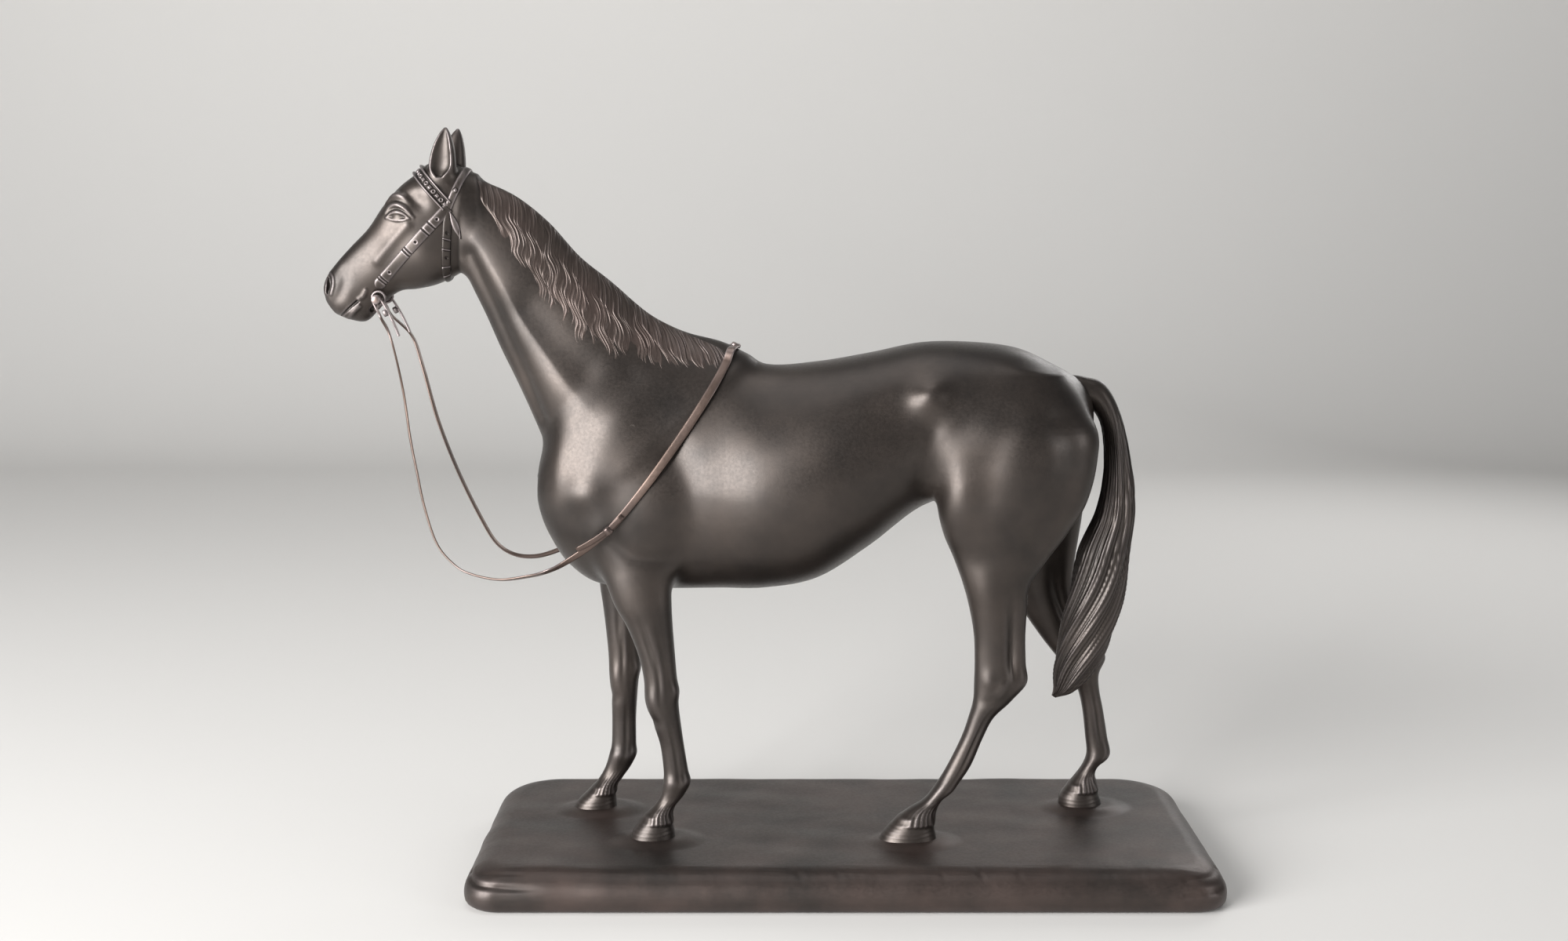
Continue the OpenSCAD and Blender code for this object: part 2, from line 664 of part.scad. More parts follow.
// A rein's middle line: out of the eye, down, along the shoulder and up to the buckle
function rein_line(hang) = concat(
    [[bit_at[0] / fig + eye_exit, eye_mid_y / fig, bit_at[1] / fig - (eye_r - rein_t / 2) / fig, 0, 0]],
    hang, shoulder_lie, withers_lie,
    [[withers_top[0], buckle_w / 2 / fig, withers_top[1], 90, 88]]);
function unit(v) = v / norm(v);
// One ring of the strip across its line: four corners, turned by the roll
function strip_ring(p, ahead, side, w, t) =
    let (along = unit(ahead),
         out = unit([along[2], 0, -along[0]]),
         face = unit(cos(p[3]) * out + sin(p[3]) * [0, side * cos(p[4]), sin(p[4])]),
         flat = unit(face - (face * along) * along),
         across = cross(along, flat),
         c = [p[0] * fig, side * p[1] * fig, p[2] * fig])
    [for (k = [[1, 1], [-1, 1], [-1, -1], [1, -1]]) c + across * k[0] * w / 2 + flat * k[1] * t / 2];
function strip_rings(line, side, w, t) =
    let (last = len(line) - 1)
    [for (i = [0 : last])
        let (a = line[max(i - 1, 0)],
             b = line[min(i + 1, last)],
             step = b - a)
        strip_ring(line[i], [step[0], side * step[1], step[2]], side, w, t)];
module strip(line, side, w, t) {
    skin(strip_rings(line, side, w, t), false);
}
module rein(hang, side) {
    color(bronze_bright)
    difference() {
        union() {
            on_plinth() strip(smooth(rein_line(hang)), side, rein_w, rein_t);
            on_bit() translate([0, 0, -side * eye_mid_y - rein_w / 2]) cylinder(r = eye_r, h = rein_w);
        }
        on_bit() translate([0, 0, -big / 4]) cylinder(r = eye_bore_r, h = big / 2);
    }
}
module near_rein() { rein(near_hang, -1); }
module off_rein() { rein(off_hang, 1); }

// Keepers are short sleeves round the strips below the bit, with a little free space inside
keeper_gap = 0.25;
module rein_keepers() {
    color(bronze_bright) on_plinth() {
        keeper(near_hang, -1);
        keeper(off_hang, 1);
    }
}
module keeper(hang, side) {
    line = smooth(rein_line(hang));
    top = line[spline_steps];
    next = line[spline_steps + 1];
    run = unit([for (k = [0 : 2]) next[k] - top[k]]);
    ends = [for (d = [0, keeper_l / fig]) [for (k = [0 : 2]) top[k] + run[k] * d]];
    bore = [for (d = [-over, over + keeper_l / fig]) [for (k = [0 : 2]) top[k] + run[k] * d]];
    fused() difference() {
        strip([for (p = ends) [each p, 0, 0]], side, rein_w + 2 * keeper_t, rein_t + 2 * keeper_t);
        strip([for (p = bore) [each p, 0, 0]], side, rein_w + 2 * keeper_gap, rein_t + 2 * keeper_gap);
    }
}
// The buckle lies across the withers and takes the two strips' ends in its sides
module rein_buckle() {
    color(bronze_bright) on_plinth()
    fused() difference() {
        translate([withers_top[0] * fig, 0, withers_top[1] * fig]) rotate([0, buckle_tilt, 0])
            cube([buckle_l, buckle_w, buckle_h], center = true);
        strip(smooth(rein_line(near_hang)), -1, rein_w, rein_t);
        strip(smooth(rein_line(off_hang)), 1, rein_w, rein_t);
    }
}

module leg_dowels() {
    color(steel) on_plinth()
    for (leg = legs)
        difference() {
            translate([leg[1][0], leg[1][1], leg_joint_z - dowel_l / 2]) cylinder(r = dowel_r, h = dowel_l);
            for (rise = [-leg_pin_rise, leg_pin_rise]) leg_pin_bore(leg, rise);
        }
}
module leg_pins() {
    color(bronze) on_plinth()
    for (leg = legs, rise = [-leg_pin_rise, leg_pin_rise])
        translate([0, leg[1][1], 0])
            cross_pin(leg[1][0], leg_joint_z + rise, limb_half(leg[0], leg_joint_z + rise) - pin_sunk);
}
module head_dowel() {
    color(steel) on_plinth()
    difference() {
        translate([head_joint_x - dowel_l / 2, 0, head_dowel_z]) rotate([0, 90, 0])
            cylinder(r = dowel_r, h = dowel_l);
        for (reach = [-head_pin_reach, head_pin_reach]) cross_bore(head_joint_x + reach, head_dowel_z);
    }
}
module head_pins() {
    color(bronze) on_plinth()
    for (reach = [-head_pin_reach, head_pin_reach])
        cross_pin(head_joint_x + reach, head_dowel_z, head_pin_half);
}

// One pin on each side goes through the body's wall into the neck's collar
function neck_pin_at() =
    [neck_joint_at[0] + sin(neck_joint_tilt) * collar_depth / 2,
     neck_joint_at[1] - cos(neck_joint_tilt) * collar_depth / 2];
neck_pin_outer = body_side_y(neck_pin_at()[0], neck_pin_at()[1]) - pin_sunk;
neck_pin_l = shell_wall + collar_wall - 2 * pin_sunk;
module neck_pin_bores() {
    for (side = [-1, 1])
        translate([neck_pin_at()[0], side * neck_pin_outer, neck_pin_at()[1]]) rotate([90 * side, 0, 0])
            translate([0, 0, -pin_bore_run])
                cylinder(r = pin_r + bore_gap, h = neck_pin_l + 2 * pin_bore_run);
}
module neck_pins() {
    color(bronze) on_plinth()
    for (side = [-1, 1])
        translate([neck_pin_at()[0], side * neck_pin_outer, neck_pin_at()[1]]) rotate([90 * side, 0, 0])
            cylinder(r = pin_r, h = neck_pin_l);
}

tail_pin_out = 6 * fig;
tail_pin_half = 6 * fig;
module tail_pin_bore() {
    tail_frame() translate([0, big / 4, tail_pin_out]) rotate([90, 0, 0])
        cylinder(r = pin_r + bore_gap, h = big / 2);
}
module tail_dowel() {
    color(steel) on_plinth()
    difference() {
        tail_frame() translate([0, 0, -tail_dowel_l / 2]) cylinder(r = tail_dowel_r, h = tail_dowel_l);
        tail_pin_bore();
    }
}
module tail_pin() {
    color(bronze) on_plinth()
    tail_frame() translate([0, tail_pin_half, tail_pin_out]) rotate([90, 0, 0])
        cylinder(r = pin_r, h = 2 * tail_pin_half);
}

// The studs stand in the hooves and hang below the plinth's top, where a washer and nut pull them tight
plinth_ceiling = plinth_h - plinth_wall;
stud_end = 1.5;
stud_tail = washer_t + nut_h + stud_end;
module at_studs() { for (leg = legs) translate([leg[2][0], leg[2][1], 0]) children(); }
module hoof_studs() {
    color(steel) at_studs()
        translate([0, 0, plinth_ceiling - stud_tail])
            cylinder(r = stud_r, h = stud_tail + plinth_wall + stud_grip);
}
module hoof_washers() {
    color(steel) at_studs()
        translate([0, 0, plinth_ceiling - washer_t]) difference() {
            cylinder(r = washer_r, h = washer_t);
            translate([0, 0, -over]) cylinder(r = stud_r + bore_gap, h = washer_t + 2 * over);
        }
}
module hoof_nuts() {
    color(steel) at_studs()
        translate([0, 0, plinth_ceiling - washer_t - nut_h]) difference() {
            cylinder(r = nut_flats / 2 / cos(30), h = nut_h, $fn = 6);
            translate([0, 0, -over]) cylinder(r = stud_r + bore_gap, h = nut_h + 2 * over);
        }
}

base_plinth();
torso();
neck();
head();
near_fore_leg();
off_fore_leg();
near_hind_leg();
off_hind_leg();
tail();
browband();
crownpiece();
near_cheekpiece();
off_cheekpiece();
throat_latch();
bit_mouthpiece();
near_bit_ring();
off_bit_ring();
near_rein();
off_rein();
rein_keepers();
rein_buckle();
leg_dowels();
leg_pins();
head_dowel();
head_pins();
neck_pins();
tail_dowel();
tail_pin();
hoof_studs();
hoof_washers();
hoof_nuts();
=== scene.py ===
"""A bridled standing horse in patinated bronze on its plinth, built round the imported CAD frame."""
import functools
import itertools
import math

import bmesh
import bpy
import numpy as np
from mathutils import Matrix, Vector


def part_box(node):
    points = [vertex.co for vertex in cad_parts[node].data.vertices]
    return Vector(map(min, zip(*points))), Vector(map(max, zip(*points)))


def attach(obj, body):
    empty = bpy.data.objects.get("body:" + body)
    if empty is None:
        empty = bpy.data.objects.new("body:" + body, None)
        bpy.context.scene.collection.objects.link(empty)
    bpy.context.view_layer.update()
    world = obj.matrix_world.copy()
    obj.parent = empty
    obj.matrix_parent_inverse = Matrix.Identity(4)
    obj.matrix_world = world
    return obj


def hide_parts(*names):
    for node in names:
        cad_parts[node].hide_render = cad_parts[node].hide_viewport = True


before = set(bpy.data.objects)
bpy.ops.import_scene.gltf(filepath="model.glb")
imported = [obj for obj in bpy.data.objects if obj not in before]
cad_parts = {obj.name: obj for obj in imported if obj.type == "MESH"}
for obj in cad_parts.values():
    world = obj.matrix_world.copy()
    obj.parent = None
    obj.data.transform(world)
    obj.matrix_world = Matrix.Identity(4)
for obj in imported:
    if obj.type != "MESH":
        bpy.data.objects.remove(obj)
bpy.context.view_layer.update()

import openvdb
from bpy.props import FloatProperty, FloatVectorProperty, PointerProperty

bl_info = {
    "name": "Bronze Horse",
    "version": (1, 0, 0),
    "blender": (4, 5, 0),
    "location": "View3D > Sidebar > Horse",
    "description": "Builds a bridled bronze horse and its stage round a fixed frame",
    "category": "Add Mesh",
}

MM = 0.001
PLINTH_LOW, PLINTH_HIGH = (np.array(c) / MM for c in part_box("base_plinth"))
PLINTH_TOP = PLINTH_HIGH[2]
NEAR, OFF = -1.0, 1.0

# Forms of the horse. All lengths below are millimetres, with z measured from the plinth's top.
# A section is: x, z of one edge, x, z of the other edge, middle y, half width, where it is widest
# as a share of the way from the second edge to the first, and the roundness towards each edge.
EDGE_X, EDGE_Z, OTHER_X, OTHER_Z, MIDDLE_Y, HALF, WIDEST, ROUND_ABOVE, ROUND_BELOW = range(9)

# Trunk: x, top, bottom, half width, widest place, roundness above and below
TRUNK = [
    (-176.8, 210, 196, 4, 0.5, 2.0, 2.0),
    (-175.0, 218, 189, 15, 0.5, 2.0, 2.0),
    (-168, 234, 171, 25, 0.5, 2.0, 2.0),
    (-160, 250, 158, 31, 0.5, 2.0, 2.0),
    (-145, 266, 147, 35.5, 0.5, 1.9, 2.1),
    (-125, 275, 143.5, 38, 0.47, 1.75, 2.1),
    (-100, 281, 143, 38.5, 0.44, 1.65, 2.1),
    (-72, 284, 143.5, 42, 0.42, 1.6, 2.15),
    (-45, 274, 144, 48, 0.43, 1.85, 2.15),
    (-15, 275.5, 150, 50.5, 0.45, 2.0, 2.1),
    (15, 280.5, 169, 48, 0.46, 2.05, 2.1),
    (45, 286.5, 192, 43.5, 0.48, 2.0, 2.2),
    (75, 286.5, 200, 43, 0.5, 2.05, 2.2),
    (100, 283, 200, 42, 0.5, 2.1, 2.2),
    (120, 274, 205, 36, 0.5, 2.1, 2.2),
    (134, 266, 214, 26, 0.5, 2.1, 2.1),
    (141, 258, 226, 15, 0.5, 2.0, 2.0),
    (144, 249, 236, 4, 0.5, 2.0, 2.0)]
# Neck: crest x, z, throat x, z, half width, widest place, roundness at the crest and the throat
NECK = [
    (-58, 276, -160, 190, 30, 0.4, 1.7, 2.0),
    (-74, 285, -170, 214, 30, 0.38, 1.6, 1.85),
    (-92, 292.5, -173, 228, 28.5, 0.36, 1.6, 1.7),
    (-112, 303, -181, 248, 26, 0.34, 1.6, 1.6),
    (-133, 321, -189, 266, 22.5, 0.33, 1.65, 1.5),
    (-151, 335.5, -197, 283, 20, 0.33, 1.7, 1.5),
    (-168, 354.5, -205, 302, 18, 0.34, 1.75, 1.55),
    (-186, 369, -212, 317, 16.2, 0.38, 1.8, 1.7),
    (-203, 377, -217, 329, 14.8, 0.44, 1.9, 1.9),
    (-214, 380.5, -218, 341, 13, 0.5, 2.0, 2.1)]
# Head: face x, z, jaw x, z, half width, widest place, roundness at the face and the jaw
HEAD = [
    (-209, 381, -206, 352, 9.5, 0.5, 2.0, 2.0),
    (-223, 388, -211, 345, 14, 0.55, 2.1, 2.0),
    (-234.5, 388, -215, 330, 16.2, 0.58, 2.2, 2.0),
    (-243, 381.5, -222, 324.5, 17.3, 0.58, 2.4, 2.1),
    (-252, 374.5, -233, 319.5, 17.4, 0.56, 2.6, 2.2),
    (-261.5, 364, -244, 317, 15.2, 0.54, 2.6, 2.2),
    (-270.5, 351.5, -253, 316, 12.4, 0.52, 2.4, 2.1),
    (-280.5, 341.5, -260.5, 311.5, 10.6, 0.5, 2.2, 2.0),
    (-288.5, 333, -267, 304.5, 10.0, 0.52, 2.2, 2.0),
    (-294.8, 325, -274, 298.5, 9.8, 0.55, 2.2, 2.0),
    (-297.4, 318, -283, 299.5, 8.3, 0.55, 2.1, 2.0),
    (-296.6, 311.5, -290.5, 302.5, 4.5, 0.5, 2.0, 2.0)]
# Ears and limbs: front x, back x, height, middle y, half width
NEAR_EAR = [
    (-234, -219, 376, -8.5, 5.5),
    (-234, -218.5, 386, -9.5, 5.8),
    (-231.5, -219, 396, -10.3, 4.8),
    (-228, -220.8, 403, -10.4, 3.0),
    (-225.2, -222.6, 406.7, -10.3, 1.1),
    (-224.2, -223.4, 407.6, -10.3, 0.3)]
OFF_EAR = [
    (-232, -217, 376, 8.5, 5.5),
    (-231.5, -216.3, 386, 9.5, 5.8),
    (-229, -216.8, 396, 10.3, 4.8),
    (-225, -218, 403, 10.4, 3.0),
    (-221.8, -219.4, 406.7, 10.3, 1.1),
    (-220.9, -220.1, 407.6, 10.3, 0.3)]
NEAR_FORE = [
    (-146, -88, 206, -19, 14), (-144, -94, 180, -22, 14), (-137.5, -98.5, 156, -25.5, 12.5),
    (-131.7, -98.7, 139, -27, 11.2), (-124.5, -98.2, 126, -27.3, 9.8), (-118, -97, 109, -27.6, 8.4),
    (-115, -96, 95, -28, 7.6), (-114, -95.3, 81, -28, 7.9), (-110, -94, 69, -28, 7.0),
    (-106, -92.3, 56, -28, 5.3), (-104.2, -90, 41, -28, 5.0), (-104.4, -89, 34, -28, 5.9),
    (-106, -92.5, 26, -28, 5.7), (-109.5, -98, 20, -28, 5.6), (-114, -99.8, 15.5, -28, 7.2),
    (-118.5, -99.2, 10, -28, 8.9), (-122, -98.3, 5, -28, 10.0), (-124.3, -97.5, 0, -28, 10.8)]
OFF_FORE = [
    (-146, -88, 206, 19, 14), (-147, -98, 180, 22, 14), (-146, -107, 156, 25, 12.5),
    (-145, -112, 139, 26.5, 11.2), (-143.3, -117, 126, 26.5, 9.8), (-141.5, -120.5, 109, 26.5, 8.4),
    (-140.4, -121.5, 95, 26.5, 7.6), (-139.8, -122.5, 81, 26.5, 7.9), (-139, -123.5, 69, 26.5, 7.0),
    (-138.8, -124.3, 56, 26.5, 5.3), (-139.2, -124.4, 41, 26.5, 5.0), (-140.6, -124.6, 34, 26.5, 5.9),
    (-143.2, -128, 26, 26.5, 5.7), (-146.3, -133, 20, 26.5, 5.6), (-149.5, -136.5, 15.5, 26.5, 7.2),
    (-155, -137.2, 10, 26.5, 8.9), (-160, -137, 5, 26.5, 10.0), (-163.3, -136.6, 0, 26.5, 10.8)]
NEAR_HIND = [
    (84, 122, 268, -17, 11), (62, 141, 242, -26, 20.5), (54.5, 142, 221, -28.5, 21.5),
    (52.8, 136.5, 198, -29.5, 20), (56, 126.5, 181, -30, 16.5), (62, 116, 166, -30, 13.2),
    (67.5, 105.5, 151, -30.5, 11.5), (71.5, 104, 136, -30.5, 10), (74, 103.3, 121, -30.5, 8.8),
    (74.6, 103.8, 106, -30.5, 8), (74.5, 104.3, 94, -30.5, 8), (74, 96, 83, -30.5, 7.6),
    (71.5, 86, 73, -30.5, 6.2), (67.5, 80, 61, -30.5, 5.6), (59.5, 73, 44, -30.5, 5.3),
    (51.8, 64, 31, -30.5, 6), (46, 57, 24, -30.5, 6), (38, 53.5, 19, -30.5, 6.5),
    (31.5, 52.5, 14, -30.5, 8.2), (24.5, 52.8, 7, -30.5, 10.2), (20.2, 54.4, 0, -30.5, 11.5)]
OFF_HIND = [
    (84, 122, 268, 17, 11), (64, 141, 242, 26, 20.5), (58, 143.5, 221, 28.5, 21.5),
    (64, 145, 198, 29.5, 20), (74, 144, 181, 30, 16.5), (84, 142, 166, 30, 13.2),
    (93, 140, 151, 30, 11.5), (101.5, 139.5, 136, 30, 10), (110.5, 143.5, 121, 30, 8.8),
    (121, 152, 106, 30, 8), (130.5, 159.6, 94, 30, 8), (139, 156.5, 83, 30, 7.6),
    (144, 157, 73, 30, 6.2), (147, 159.5, 61, 30, 5.5), (149.2, 162.5, 44, 30, 5.2),
    (150.3, 164.3, 33, 30, 6), (148, 158, 26, 30, 6), (144, 155, 20, 30, 6.2),
    (139.5, 156.3, 14, 30, 8.2), (134.5, 158.2, 7, 30, 10), (133.5, 160.4, 0, 30, 11)]
# Tail: outer x, z, inner x, z, half width
TAIL = [
    (128, 268, 127, 250, 6), (139, 266.5, 134, 251, 7.2), (150.8, 262, 142, 249, 8),
    (160.3, 244, 149, 237, 9), (166.6, 216.6, 151, 212, 11), (169.4, 189, 147, 188, 12.3),
    (167.6, 166, 137.5, 166, 13), (164.6, 137.6, 131.5, 137.6, 12.5), (158, 111.7, 127.5, 114, 10.8),
    (149.3, 94, 124.5, 96, 8.6), (137, 80.4, 124.5, 82.8, 5.6), (126.5, 75.8, 123.2, 78, 1.2)]

# Places where the castings part, as in the frame: a level, an upright and two slanting planes
LEG_JOINT_Z = 136.0
HEAD_JOINT_X = -210.0
NECK_JOINT = (-122.0, 246.0)
NECK_JOINT_TILT = 34.2

# How softly one form runs into the next
TRUNK_BLEND, LIMB_BLEND, HEAD_BLEND, EAR_BLEND, EAR_LIP = 14.0, 10.0, 8.0, 2.5, 1.0
SPLINE_STEPS = 6
# Added to the miss of a pair of sections that a point doesn't lie between
FAR = 1000.0
# Least share of the way to an edge, and least distance from the axis, that a loft's distance is worked out for
LEAST_SHARE, LEAST_RHO = 1e-3, 0.15
# How far rays are followed across the head, the neck and the body
HEAD_REACH, NECK_REACH, BODY_REACH = 23, 46, 60


def spline(rows, steps=SPLINE_STEPS):
    """Smooth curve through rows: each stretch is the cubic whose slopes join the rows on either side."""
    rows = np.asarray(rows, float)
    padded = np.vstack([2 * rows[0] - rows[1], rows, 2 * rows[-1] - rows[-2]])
    a, b, c, d = (padded[k:k + len(rows) - 1, None] for k in range(4))
    t = np.linspace(0, 1, steps, endpoint=False)[None, :, None]
    curve = 0.5 * (2 * b + (c - a) * t + (2 * a - 5 * b + 4 * c - d) * t ** 2
                   + (3 * b - a - 3 * c + d) * t ** 3)
    return np.vstack([curve.reshape(-1, rows.shape[1]), rows[-1]])


def upright_sections(rows):
    """Sections of the trunk, which stand upright across x."""
    r = np.array(rows, float)
    return np.column_stack([r[:, 0], r[:, 1], r[:, 0], r[:, 2], 0 * r[:, 0], r[:, 3:]])


def slanted_sections(rows):
    """Sections of the neck and head, whose two edges are given."""
    r = np.array(rows, float)
    return np.column_stack([r[:, :4], 0 * r[:, 0], r[:, 4:]])


def level_sections(rows, roundness=2.1):
    """Sections of a limb or ear, which lie level across z."""
    r = np.array(rows, float)
    return np.column_stack([r[:, 0], r[:, 2], r[:, 1], r[:, 2], r[:, 3], r[:, 4],
                            0 * r[:, 0] + 0.5, 0 * r[:, 0] + roundness, 0 * r[:, 0] + roundness])


def section_at(form, x, z):
    """The section of a form that passes through each point of the x-z plane.

    Each sampled section is a line. A point lies between two neighbours when it is ahead of one and behind the
    next; of all such pairs the one whose mixed section it misses least is taken. Gives the mixed section, the
    place along it from its middle, and how far the point lies beyond the form's ends.
    """
    rows = spline(form).astype(np.float32)
    x, z = np.broadcast_arrays(x, z)
    flat = np.stack([x.ravel(), z.ravel()], 1).astype(np.float32)
    middle = (rows[:, 0:2] + rows[:, 2:4]) / 2
    edge = rows[:, 0:2] - rows[:, 2:4]
    half = np.hypot(edge[:, 0], edge[:, 1]) / 2
    axis = edge / (2 * half[:, None])
    normal = np.stack([-axis[:, 1], axis[:, 0]], 1)
    normal *= np.sign(np.sum(np.gradient(middle, axis=0) * normal))
    ahead = flat @ normal.T - np.sum(middle * normal, 1)
    along = flat @ axis.T - np.sum(middle * axis, 1)
    a, b = ahead[:, :-1], ahead[:, 1:]
    share = np.clip(a / np.where(a == b, 1, a - b), 0, 1)
    offset = along[:, :-1] + (along[:, 1:] - along[:, :-1]) * share
    missed = np.maximum(np.abs(offset) - half[:-1] - (half[1:] - half[:-1]) * share, 0)
    between = (a >= 0) & (b < 0)
    missed += np.where(between, 0, FAR * (1 + np.minimum(np.abs(a), np.abs(b))))
    near = np.argmin(missed, axis=1)
    pick = np.arange(len(flat))
    share, offset = share[pick, near], offset[pick, near]
    mixed = rows[near] + (rows[near + 1] - rows[near]) * share[:, None]
    past = np.maximum(-ahead[:, 0], ahead[:, -1])
    past = np.where(between.any(1), np.minimum(past, 0), past)
    shape = x.shape
    return mixed.reshape(shape + (rows.shape[1],)), offset.reshape(shape), past.reshape(shape)


def section_length(row):
    """Distance between a section's two edges."""
    return np.hypot(row[..., EDGE_X] - row[..., OTHER_X], row[..., EDGE_Z] - row[..., OTHER_Z])


def loft_distance(form, x, y, z):
    """Distance to a loft, below zero inside.

    In its section a point lies at u of the way to the edge and v of the way to the side. The section's
    outline is where u^n + v^n = 1, and the distance is that value's excess over its slope.
    """
    row, offset, past = section_at(form, x, z)
    length = section_length(row)
    up = offset - (row[..., WIDEST] - 0.5) * length
    reach = np.where(up > 0, 1 - row[..., WIDEST], row[..., WIDEST]) * length
    n = np.where(up > 0, row[..., ROUND_ABOVE], row[..., ROUND_BELOW]).astype(np.float32)
    u = np.clip(np.abs(up) / reach, LEAST_SHARE, None).astype(np.float32)
    half = row[..., HALF].astype(np.float32)
    v = np.clip(np.abs(y - row[..., MIDDLE_Y]) / half, LEAST_SHARE, None).astype(np.float32)
    rho = np.clip((u ** n + v ** n) ** (1 / n), LEAST_RHO, None)
    slope = rho ** (1 - n) * np.hypot(u ** (n - 1) / reach.astype(np.float32), v ** (n - 1) / half)
    side = (rho - 1) / slope
    past = np.broadcast_to(past.astype(np.float32), side.shape)
    return np.where((side > 0) & (past > 0), np.hypot(side, past), np.maximum(side, past))


def smooth_min(a, b, blend):
    """Joins two distances with a fillet whose reach is blend."""
    h = np.clip(0.5 + 0.5 * (b - a) / blend, 0, 1)
    return b + (a - b) * h - blend * h * (1 - h)


def smooth_step(value, start, end):
    """0 before start, 1 after end and a soft S between."""
    t = np.clip((value - start) / (end - start), 0, 1)
    return t * t * (3 - 2 * t)


FORMS = {
    "trunk": upright_sections(TRUNK), "neck": slanted_sections(NECK), "head": slanted_sections(HEAD),
    "near_fore": level_sections(NEAR_FORE), "off_fore": level_sections(OFF_FORE),
    "near_hind": level_sections(NEAR_HIND), "off_hind": level_sections(OFF_HIND),
    "near_ear": level_sections(NEAR_EAR), "off_ear": level_sections(OFF_EAR)}
BLENDS = {"trunk": TRUNK_BLEND, "neck": TRUNK_BLEND, "head": HEAD_BLEND, "near_fore": LIMB_BLEND,
          "off_fore": LIMB_BLEND, "near_hind": LIMB_BLEND, "off_hind": LIMB_BLEND}


def solid_grid(low, high, step, names):
    """Distance to the joined forms on a box of points, and the box's three axes."""
    axes = [np.arange(a, b + step, step) for a, b in zip(low, high)]
    x, y, z = np.ix_(*axes)
    total = None
    for name in names:
        distance = loft_distance(FORMS[name], x, y, z).astype(np.float32)
        total = distance if total is None else smooth_min(total, distance, BLENDS[name])
    return total, axes


# Boxes, steps and forms of the castings
CASTINGS = {
    "body": ((-182, -58, 129), (152, 58, 294), 1.3,
             ("trunk", "neck", "near_fore", "off_fore", "near_hind", "off_hind")),
    "neck": ((-222, -46, 186), (-50, 46, 388), 0.7, ("trunk", "neck", "near_fore", "off_fore", "head")),
    "head": ((-303, -24, 292), (-198, 24, 412), 0.47, ("neck", "head"))}


@functools.lru_cache(maxsize=None)
def casting_grid(name):
    """The distance grid of one casting, made once."""
    return solid_grid(*CASTINGS[name])


def sample(solid, axes, points):
    """Distance at any points, mixed from the eight grid points round each."""
    place = (points - [a[0] for a in axes]) / (axes[0][1] - axes[0][0])
    place = np.clip(place, 0, np.array(solid.shape) - 1.001)
    low = place.astype(int)
    share = place - low
    total = 0
    for corner in itertools.product((0, 1), repeat=3):
        weight = np.prod(np.where(corner, share, 1 - share), axis=-1)
        total = total + weight * solid[tuple(np.moveaxis(low + corner, -1, 0))]
    return total


def cast(name, origins, directions, reach, samples=240):
    """Where rays from inside a casting first come out, and the outward normals there."""
    solid, axes = casting_grid(name)
    t = np.linspace(0, reach, samples)
    line = origins[..., None, :] + directions[..., None, :] * t[:, None]
    value = sample(solid, axes, line)
    out = np.clip(np.argmax(value >= 0, axis=-1), 1, None)[..., None]
    before, after = (np.take_along_axis(value, out - k, -1)[..., 0] for k in (1, 0))
    way = t[out[..., 0] - 1] + (t[1] - t[0]) * before / np.where(before == after, 1, before - after)
    hit = origins + directions * way[..., None]
    slope = np.stack([sample(solid, axes, hit + d) - sample(solid, axes, hit - d) for d in np.eye(3)], -1)
    normal = slope / np.linalg.norm(slope, axis=-1, keepdims=True)
    rise = skin_height(hit.reshape(-1, 3)).reshape(way.shape)
    return hit + normal * rise[..., None], normal


def tool_path(solid, axes, path, blend, cut=False):
    """Adds a rounded bead along a path on a head's sides, or cuts it out.

    The path's rows are x, z, radius and how far the bead's outside stands above the bare skin, found by casting
    across the horse. The bead is the union of balls set closely along the path's smooth curve; it is joined or
    cut with a fillet of the given reach.
    """
    balls = spline(path, 10) if len(path) > 1 else np.array(path, float)
    centre = np.column_stack([balls[:, 0], 0 * balls[:, 0], balls[:, 1]])
    hit, normal = cast("head", centre, np.broadcast_to([0.0, 1.0, 0.0], centre.shape), HEAD_REACH)
    centre = hit + normal * (balls[:, 3] - balls[:, 2])[:, None]
    for side in (NEAR, OFF):
        middle = centre * (1, side, 1)
        margin = balls[:, 2].max() + 3 * blend
        span = [slice(*np.searchsorted(a, (middle[:, k].min() - margin, middle[:, k].max() + margin)))
                for k, a in enumerate(axes)]
        x, y, z = np.meshgrid(*(a[s] for a, s in zip(axes, span)), indexing="ij")
        near = np.full(x.shape, 1e6, np.float32)
        for (cx, cy, cz), r in zip(middle, balls[:, 2]):
            near = np.minimum(near, np.sqrt((x - cx) ** 2 + (y - cy) ** 2 + (z - cz) ** 2) - r)
        part = solid[tuple(span)]
        solid[tuple(span)] = -smooth_min(-part, near, blend) if cut else smooth_min(part, near, blend)


def cut_loft(solid, axes, form, blend):
    """Cuts a loft out of a solid with a fillet of the given reach."""
    x, y, z = np.ix_(*axes)
    solid[:] = -smooth_min(-solid, loft_distance(form, x, y, z).astype(np.float32), blend)


def skin(solid, axes):
    """Points and quads of the solid's zero surface, facing outwards."""
    volume = openvdb.FloatGrid(float(solid.max()))
    volume.copyFromArray(np.ascontiguousarray(solid, np.float32))
    points, quads = volume.convertToQuads(isovalue=0.0)
    step = axes[0][1] - axes[0][0]
    return points.astype(float) * step + [a[0] for a in axes], quads.astype(np.int64)


def quads_of(faces):
    """The faces with four corners, as an array."""
    return np.array([f for f in faces if len(f) == 4])


